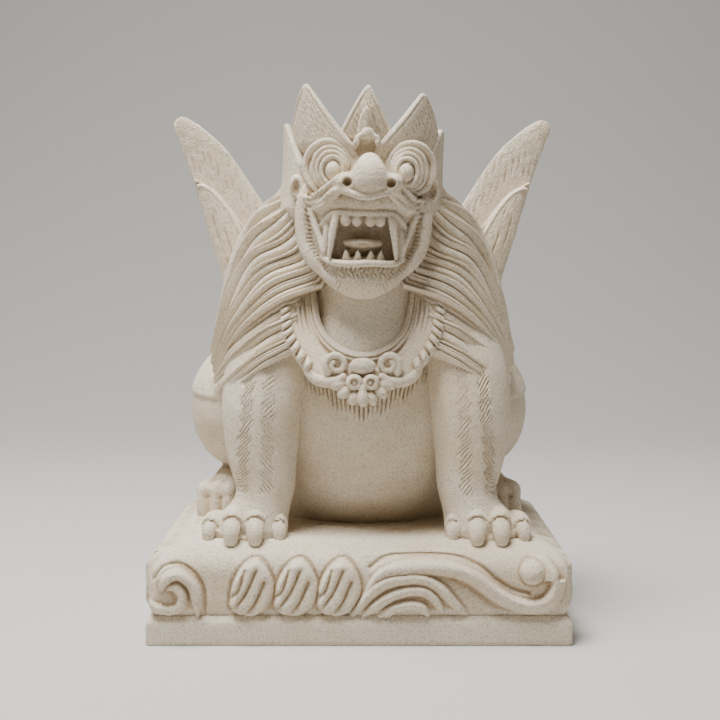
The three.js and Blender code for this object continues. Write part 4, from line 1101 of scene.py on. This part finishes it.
# chin and lower lip
head.add(ball((0, -25.6, 57.8), (8.8, 5.6, 4.2)), 1.0)
head.add(ball((0, -27.6, 57.0), (7.0, 4.0, 4.0)), 1.2)
for side in (-1, 1):
    head.cut(rod(on_side([
        (8.4, -30.2, 60.4, 0.5), (9.0, -29.2, 58.6, 0.6), (8.2, -29.2, 56.6, 0.5), (7.2, -28.8, 55.0, 0.3)
    ], side), 12), 0.4)
head.cut(rod([(-8, -30.6, 59.0, 0.5), (0, -33.6, 58.4, 0.8), (8, -30.6, 59.0, 0.5)]), 0.5)
head.add(rod([
    (-8.8, -27.6, 61.6, 0.7), (-6.4, -30.4, 60.6, 0.9), (-2.4, -32.0, 60.3, 0.95), (2.0, -32.1, 60.6, 0.95),
    (6.0, -30.8, 60.5, 0.9), (8.8, -27.6, 61.4, 0.7)
], 16, flat=(1, 1.2, 0.8)), 0.4)
# upper lip: a rippled rim, under which the lip falls back to the gum
head.add(rod([
    (-10.4, -25.6, 72.2, 1.6), (-8.0, -28.2, 73.2, 1.9), (-4.6, -29.8, 73.9, 2.0), (0, -30.4, 73.5, 2.0),
    (4.6, -29.8, 73.9, 2.0), (8.0, -28.2, 73.2, 1.9), (10.4, -25.6, 72.2, 1.6)
], 18, flat=(1, 0.8, 1)), 0.7)
head.cut(rod([
    (-9.4, -29.6, 70.4, 1.4), (-5.4, -33.6, 71.8, 2.4), (0, -34.6, 71.2, 2.6), (5.4, -33.6, 71.8, 2.4),
    (9.4, -29.6, 70.4, 1.4)
], 18), 0.3)
head.add(rod([
    (-9.0, -27.4, 68.6, 0.6), (-7.6, -29.2, 70.4, 0.65), (-5.6, -30.4, 71.3, 0.65), (0, -31.2, 71.3, 0.65),
    (5.6, -30.4, 71.3, 0.65), (7.6, -29.2, 70.4, 0.65), (9.0, -27.4, 68.6, 0.6)
], 20), 0.2)
rim_line = [
    (-12.4, -25.2, 74.3, 0.5), (-11.2, -26.8, 73.3, 0.6), (-9.0, -29.2, 73.6, 0.65),
    (-7.4, -31.0, 75.2, 0.7), (-5.4, -32.4, 76.0, 0.75), (-2.8, -33.4, 75.3, 0.75),
    (0.4, -33.8, 74.6, 0.75), (3.6, -33.4, 75.3, 0.75), (6.2, -32.2, 76.0, 0.75), (8.2, -30.6, 74.9, 0.7),
    (9.6, -28.6, 73.3, 0.65), (11.4, -26.4, 73.0, 0.6), (12.4, -25.0, 73.8, 0.5)
]
head.add(rod(rim_line, 44), 0.35)
# muzzle folds from the nose to the cheeks
for side in (-1, 1):
    head.add(rod(on_side([
        (6.0, -30.4, 77.2, 1.2), (8.2, -28.6, 75.4, 1.2), (10.0, -26.9, 74.0, 1.2),
        (11.6, -25.3, 73.2, 1.1), (12.8, -23.7, 73.4, 0.9)
    ], side), 14), 0.8)
    head.add(rod(on_side([
        (6.0, -31.3, 78.4, 0.6), (8.3, -30.0, 76.6, 0.65), (10.2, -28.2, 75.2, 0.65),
        (11.8, -26.4, 74.4, 0.65), (13.4, -24.1, 74.6, 0.6)
    ], side), 14), 0.2)
    head.add(rod(on_side([
        (5.6, -31.8, 75.4, 0.55), (7.6, -30.4, 73.6, 0.6), (9.6, -28.6, 72.4, 0.6),
        (11.4, -26.4, 72.2, 0.55)
    ], side), 12), 0.2)
    # ridge across the cheek
    head.add(rod(on_side([
        (11.6, -26.2, 71.4, 0.9), (10.2, -27.4, 67.6, 0.7), (8.6, -29.0, 62.9, 0.6)
    ], side)), 0.2)
# gum, teeth, fangs and tongue
head.add(rod([(-6.4, -28.0, 71.6, 0.9), (0, -29.6, 72.0, 1.0), (6.4, -28.0, 71.6, 0.9)], 12), 0.3)
for x, lower in ((-3.9, 0.3), (-1.45, 0.4), (1.45, 0.3), (3.6, 0.3)):
    head.add(rod([(x, -29.8, 71.0, 0.9), (x, -30.4, 70.0, 1.1), (x, -30.3, 69.5, 1.1)]), 0.1)
    tooth = x + lower
    head.add(rod([
        (tooth, -29.2, 60.9, 0.95), (tooth, -29.4, 61.9, 0.75), (tooth * 1.03, -29.3, 63.4, 0.15)
    ]), 0.1)
for side in (-1, 1):
    head.add(rod(on_side([
        (5.6, -29.8, 71.2, 0.7), (6.2, -30.6, 69.4, 0.85), (6.8, -31.0, 65.6, 0.75),
        (7.2, -31.0, 61.8, 0.45)
    ], side), 12), 0.1)
    head.add(rod(on_side([
        (7.6, -27.6, 70.6, 0.8), (8.1, -28.4, 66.2, 0.75), (8.4, -28.4, 61.6, 0.7)
    ], side)), 0.3)
head.add(rod([(0, -22.4, 63.6, 1.6), (0, -26.0, 64.4, 1.3)], flat=(2.2, 1, 1)), 0.3)
head.add(rod([
    (-3.2, -27.0, 64.9, 1.1), (0, -28.0, 64.8, 1.3), (3.2, -27.0, 64.9, 1.1)
], flat=(1, 2.0, 0.8)), 0.2)
head.cut(ball((0.3, -31.2, 64.4), (1.9, 1.9, 0.7)), 0.4)
# eyes: a domed pupil in nested rings that open upward and outward, the last one standing off as a brow
# place across and up, half width, half height, how far forward and thickness of each ring
eye_rings = [(9.2, 81.4, 5.0, 5.5, -25.4, 0.75), (8.6, 81.05, 3.85, 4.5, -26.7, 0.52),
             (8.35, 80.8, 3.1, 3.7, -27.6, 0.5), (8.1, 80.5, 2.35, 2.9, -28.4, 0.5)]
for side in (-1, 1):
    head.add(ball((nose_x + side * 8.4, -24.8, 80.9), (4.0, 2.9, 4.8)), 0.2)
    for centre_x, centre_z, half_x, half_z, y, r in eye_rings:
        turn = np.linspace(0, 2 * np.pi, 24)
        wide = centre_x + half_x * np.cos(turn)
        oval = np.stack([
            nose_x + side * wide, y + 0.05 * np.clip(wide - 8, 0, 9) ** 2, centre_z + half_z * np.sin(turn),
            np.full_like(turn, r)
        ], axis=-1)
        head.add(rod(oval, 32), 0.12)
    head.add(ball((nose_x + side * 7.9, -27.8, 80.3), (1.75, 2.1, 2.2)), 0.1)
# nose: a pear with its nostrils set in two wings that flow into it
head.add(rod([
    (nose_x, -27.0, 84.0, 1.0), (nose_x, -29.8, 82.9, 1.7), (nose_x, -32.0, 80.4, 2.8),
    (nose_x, -31.9, 78.0, 3.5), (nose_x, -31.2, 77.2, 3.1)
], 14, flat=(1.25, 1, 0.9)), 0.5)
for side in (-1, 1):
    head.add(ball((nose_x + side * 4.9, -31.2, 77.9), (2.5, 2.8, 2.1)), 0.9)
    head.cut(ball((nose_x + side * 4.7, -34.0, 77.7), (1.05, 2.4, 1.0)), 0.25)
# forehead: a smooth hollow between the brows, with a knob and two scrolls above it
head.cut(rod([
    (nose_x - 3.2, -28.4, 85.9, 1.7), (nose_x, -27.8, 84.6, 2.2), (nose_x + 3.2, -28.4, 85.9, 1.7)
]), 0.6)
head.add(rod([(0.4, -22, 88.8, 1.6), (0.4, -26.6, 88.7, 1.45)]), 0.3)
for side in (-1, 1):
    head.add(rod([
        (0.4 + side * 0.9, -27.0, 88.3, 0.7), (0.4 + side * 2.1, -27.0, 87.6, 0.7),
        (0.4 + side * 2.2, -27.2, 86.6, 0.65)
    ]), 0.2)
    head.add(rod([
        (0.4 + side * 2.4, -25.6, 86.7, 0.8), (0.6 + side * 3.6, -25.2, 85.5, 0.7),
        (0.6 + side * 5.2, -25, 85.8, 0.6)
    ]), 0.3)
    # ears
    head.add(ball((side * 14.9, -21.4, 76.9), (1.8, 1.8, 2.9), (0, 0.1 * side, 0)), 0.2)
    head.cut(ball((side * 15.1, -23.2, 76.8), (1.0, 1.3, 2.0)), 0.2)
points, triangles = head.surface()

normal = corner_normals(points, triangles)
x, y, z = points.T
beard = smooth_step((59.9 - z) / 0.4) * smooth_step((z - 56.9) / 0.6)
beard = beard * smooth_step((7.2 - np.abs(x)) / 0.6) * (y < -27)
notches = np.cos(2 * np.pi * (x + 0.2 * np.sin(2.7 * z)) / 0.98)
notches = notches * np.cos(2 * np.pi * (z + 0.5 * np.sin(3.3 * x)) / 2.7)
ring_x = np.interp(z, (57.0, 58.6, 61.2, 64.8, 69.6, 74.4, 77.2), (6.2, 8.4, 10.8, 12.7, 13.4, 13.1, 12.0))
inner_ring = smooth_step((ring_x - 0.2 - np.abs(x)) / 0.3) * smooth_step((np.abs(x) - ring_x + 1.9) / 0.4)
inner_ring = inner_ring * smooth_step((76.4 - z) / 1.2) * (y < -22)
around_ring = np.arctan2(np.abs(x), z - 66) * 13.5
ticks = np.abs((around_ring) % 1 - 0.5) * 2
stipple = np.sin(7.6 * x + 2 * np.sin(2.1 * z)) * np.sin(7.2 * z + 1.7 * np.sin(1.9 * x))
dotted = smooth_step(77.5 - z) * smooth_step(z - 71.5) * smooth_step((np.abs(x) - 7) / 1.5) * (y < -20)
lip_dots = smooth_step(76 - z) * smooth_step((z - 73.6) / 0.6)
lip_dots = lip_dots * smooth_step((7 - np.abs(x)) / 1.5) * (y < -30)
cut_in = 0.34 * beard * notches - 0.34 * inner_ring * smooth_step(1 - ticks / 0.55)
cut_in = cut_in - 0.16 * (dotted + 0.5 * lip_dots) * smooth_step((stipple - 0.1) / 0.4)
cut_in = cut_in + 0.035 * rough(points, 4.0)
carved("head", head_mm(points + normal * cut_in[:, None]), triangles, reach=1.1, sharp=80)

# Crown
# A ring of pointed leaves round the skull, the three in front tallest, each with a border line along
# its edges, a raised petal at its foot and fine slanting chisel strokes.


def crown_leaf(angle, half_width, tip, meeting, foot, out, bulge, top, steps, across, lean_x):
    """A hollowed leaf on a circle round the skull. Its half width is w at the height where the leaves
    meet, and w * (distance to the tip / that at the meeting)^0.85 elsewhere, up to 1.25 w. Its face bends
    back by 0.035 times the width squared, and it narrows in thickness to its tip. A top below 1 leaves
    it blunt, and the two leaves over the eyes are tucked in behind the brows."""
    t = top * np.linspace(0, 1, steps)[:, None] ** 0.9
    s = np.linspace(-1, 1, across)[None]
    z = foot + (tip - foot) * t + 0 * s
    wide = half_width * np.minimum(1.25, ((tip - z) / (tip - meeting)) ** 0.85) + 0.12
    apart = (1 - np.abs(s)) * wide
    tuck = 2.4 * np.clip(1 - t / 0.38, 0, 1) if 0 < abs(angle) < 1 else 3 * np.clip(1 - t / 0.14, 0, 1)
    reach = out + bulge * np.sin(0.8 * np.pi * t) - 0.035 * wide ** 2 * s ** 2 - tuck
    border = -0.22 * np.exp(-(((apart - 1.1) / 0.2) ** 2)) * smooth_step((t - 0.1) / 0.1)
    border = border * smooth_step(wide - 1.2)
    rib = 0.5 * np.exp(-((s * wide / 0.9) ** 2)) * smooth_step((0.75 - t) / 0.2) * (angle == 0)
    petal_wide = 0.42 * half_width * np.sqrt(np.clip(1 - (t / 0.62) ** 2.2, 0, 1))
    petal = 0.55 * smooth_step((petal_wide - np.abs(s) * wide) / 0.5) * (angle == 0)
    cuts = dashes(s * wide * 0.9 + 0.45 * z, z * 0.9 - 0.45 * np.abs(s) * wide, 0.95, 2.6, 0.17, 0.2)
    relief = border + rib + petal - cuts * smooth_step((apart - 1.5) / 0.4) * smooth_step((0.9 - t) / 0.1)
    edge = 0.5 * np.clip(1 - np.minimum(apart, (top - t) * (tip - foot)) / 0.5, 0, 1) ** 2
    thick = (3.4 - 2.4 * t) * np.clip(apart / 1.4 + 0.25, 0, 1)
    face, rear = reach + relief - edge, reach - 0.4 - thick - 0.25 * (relief - petal)
    sin, cos = math.sin(angle), math.cos(angle)

    def placed(reach_out):
        x = reach_out * sin + s * wide * cos + lean_x * t ** 2
        return np.stack([x, -10 - reach_out * cos + s * wide * sin, z], axis=-1)

    return np.concatenate([placed(face), placed(rear)[:, ::-1]], axis=1)


# name, angle, half width, height of the tip, of the meeting and of the foot, reach, bulge, top, lean
leaves = [("crown_front", 0, 5.4, 99.4, 89.4, 86, 15.2, 1.4, 0.985, 0.3),
          ("crown_front_left", -45, 7.6, 99.8, 89.4, 79, 16.2, 1.4, 0.985, -1.8),
          ("crown_front_right", 45, 7.6, 98.4, 89.2, 79, 16.2, 1.4, 0.985, 0.7),
          ("crown_left", -74, 5.4, 92, 84.5, 69, 19.9, -1, 0.97, 0),
          ("crown_right", 74, 5.4, 91.6, 84.5, 69, 18.6, -0.6, 0.97, 0),
          ("crown_back_left", -106, 7, 88.5, 83, 70, 17.4, 0.6, 0.985, 0),
          ("crown_back_right", 106, 7, 88.5, 83, 70, 17, 0.6, 0.985, 0),
          ("crown_rear_left", -142, 6.6, 88.5, 83, 70, 16.6, 0.6, 0.985, 0),
          ("crown_rear_right", 142, 6.6, 88.5, 83, 70, 16.4, 0.6, 0.985, 0),
          ("crown_rear", 180, 6.6, 89, 83, 70, 15.6, 0.6, 0.985, 0)]
for name, degrees, half_width, tip, meeting, foot, out, bulge, top, lean_x in leaves:
    fine = abs(degrees) < 60
    leaf = crown_leaf(
        math.radians(degrees), half_width, tip, meeting, foot, out, bulge, top, 70 if fine else 46,
        54 if fine else 36, lean_x
    )
    carved(name, *skin(head_mm(leaf), ends="seam"), reach=0.8)

# Light, floor and camera
# A plain pale floor that curves up into a wall, with wide soft light from above as under an overcast
# sky. The camera stands low in front of the lion, at the height of its mouth.


def soft_light(name, place, aim, size, power, colour):
    """A square area light at a place, turned to shine at a point."""
    lamp = bpy.data.lights.new(name, "AREA")
    lamp.shape = "SQUARE"
    lamp.size = size
    lamp.energy = power
    lamp.color = colour
    holder = bpy.data.objects.new(name, lamp)
    holder.location = place
    away = np.array(place) - np.array(aim)
    holder.rotation_euler = Euler((math.atan2(math.hypot(away[0], away[1]), away[2]), 0,
                                   math.atan2(away[0], -away[1])))
    bpy.context.scene.collection.objects.link(holder)


statue_middle = (0, 0, 0.25)
cloud_white = (0.985, 0.99, 1.0)
warm_white = (1.0, 0.93, 0.82)
soft_light("sky_light", (-0.45, -0.36, 2.3), statue_middle, 1.1, 128, cloud_white)
soft_light("left_light", (-1.9, -1.3, 1.6), statue_middle, 1.0, 5, warm_white)
soft_light("right_light", (2.2, -0.9, 1.5), statue_middle, 1.2, 2, warm_white)

world = bpy.data.worlds.new("overcast")
world.use_nodes = True
world.node_tree.nodes["Background"].inputs["Color"].default_value = (1.0, 0.9, 0.76, 1)
world.node_tree.nodes["Background"].inputs["Strength"].default_value = 0.11
bpy.context.scene.world = world

floor_half, floor_front, wall_top = 6.0, -4.0, 5.0
sweep_start, sweep_radius = 1.2, 1.6
sweep_turn = np.linspace(0, math.pi / 2, 16)[1:]
sweep_y = np.concatenate([[floor_front, sweep_start], sweep_start + sweep_radius * np.sin(sweep_turn),
                          [sweep_start + sweep_radius]])
sweep_z = np.concatenate([[0.0, 0.0], sweep_radius * (1 - np.cos(sweep_turn)), [wall_top]])
floor_points = [
    (x, y, z) for x in (-floor_half, floor_half) for y, z in zip(sweep_y.tolist(), sweep_z.tolist())
]
rows = len(sweep_y)
floor_mesh = bpy.data.meshes.new("floor")
floor_mesh.from_pydata(floor_points, [], [(k, k + rows, k + rows + 1, k + 1) for k in range(rows - 1)])
floor_mesh.polygons.foreach_set("use_smooth", [True] * (rows - 1))
floor_paint = bpy.data.materials.new("pale_floor")
floor_paint.use_nodes = True
floor_paint.node_tree.nodes["Principled BSDF"].inputs["Base Color"].default_value = (0.57, 0.55, 0.52, 1)
floor_paint.node_tree.nodes["Principled BSDF"].inputs["Roughness"].default_value = 0.9
floor_mesh.materials.append(floor_paint)
floor = bpy.data.objects.new("floor", floor_mesh)
bpy.context.scene.collection.objects.link(floor)

camera_place = (0, -1.35, 0.345)
camera_dip = 0.0755
eye_point = bpy.data.cameras.new("camera")
eye_point.lens = 69.0
eye_point.sensor_width = 36.0
eye_point.shift_x = 1 / 720
camera = bpy.data.objects.new("camera", eye_point)
camera.location = camera_place
camera.rotation_euler = Euler((math.pi / 2 - camera_dip, 0, 0))
bpy.context.scene.collection.objects.link(camera)
bpy.context.scene.camera = camera
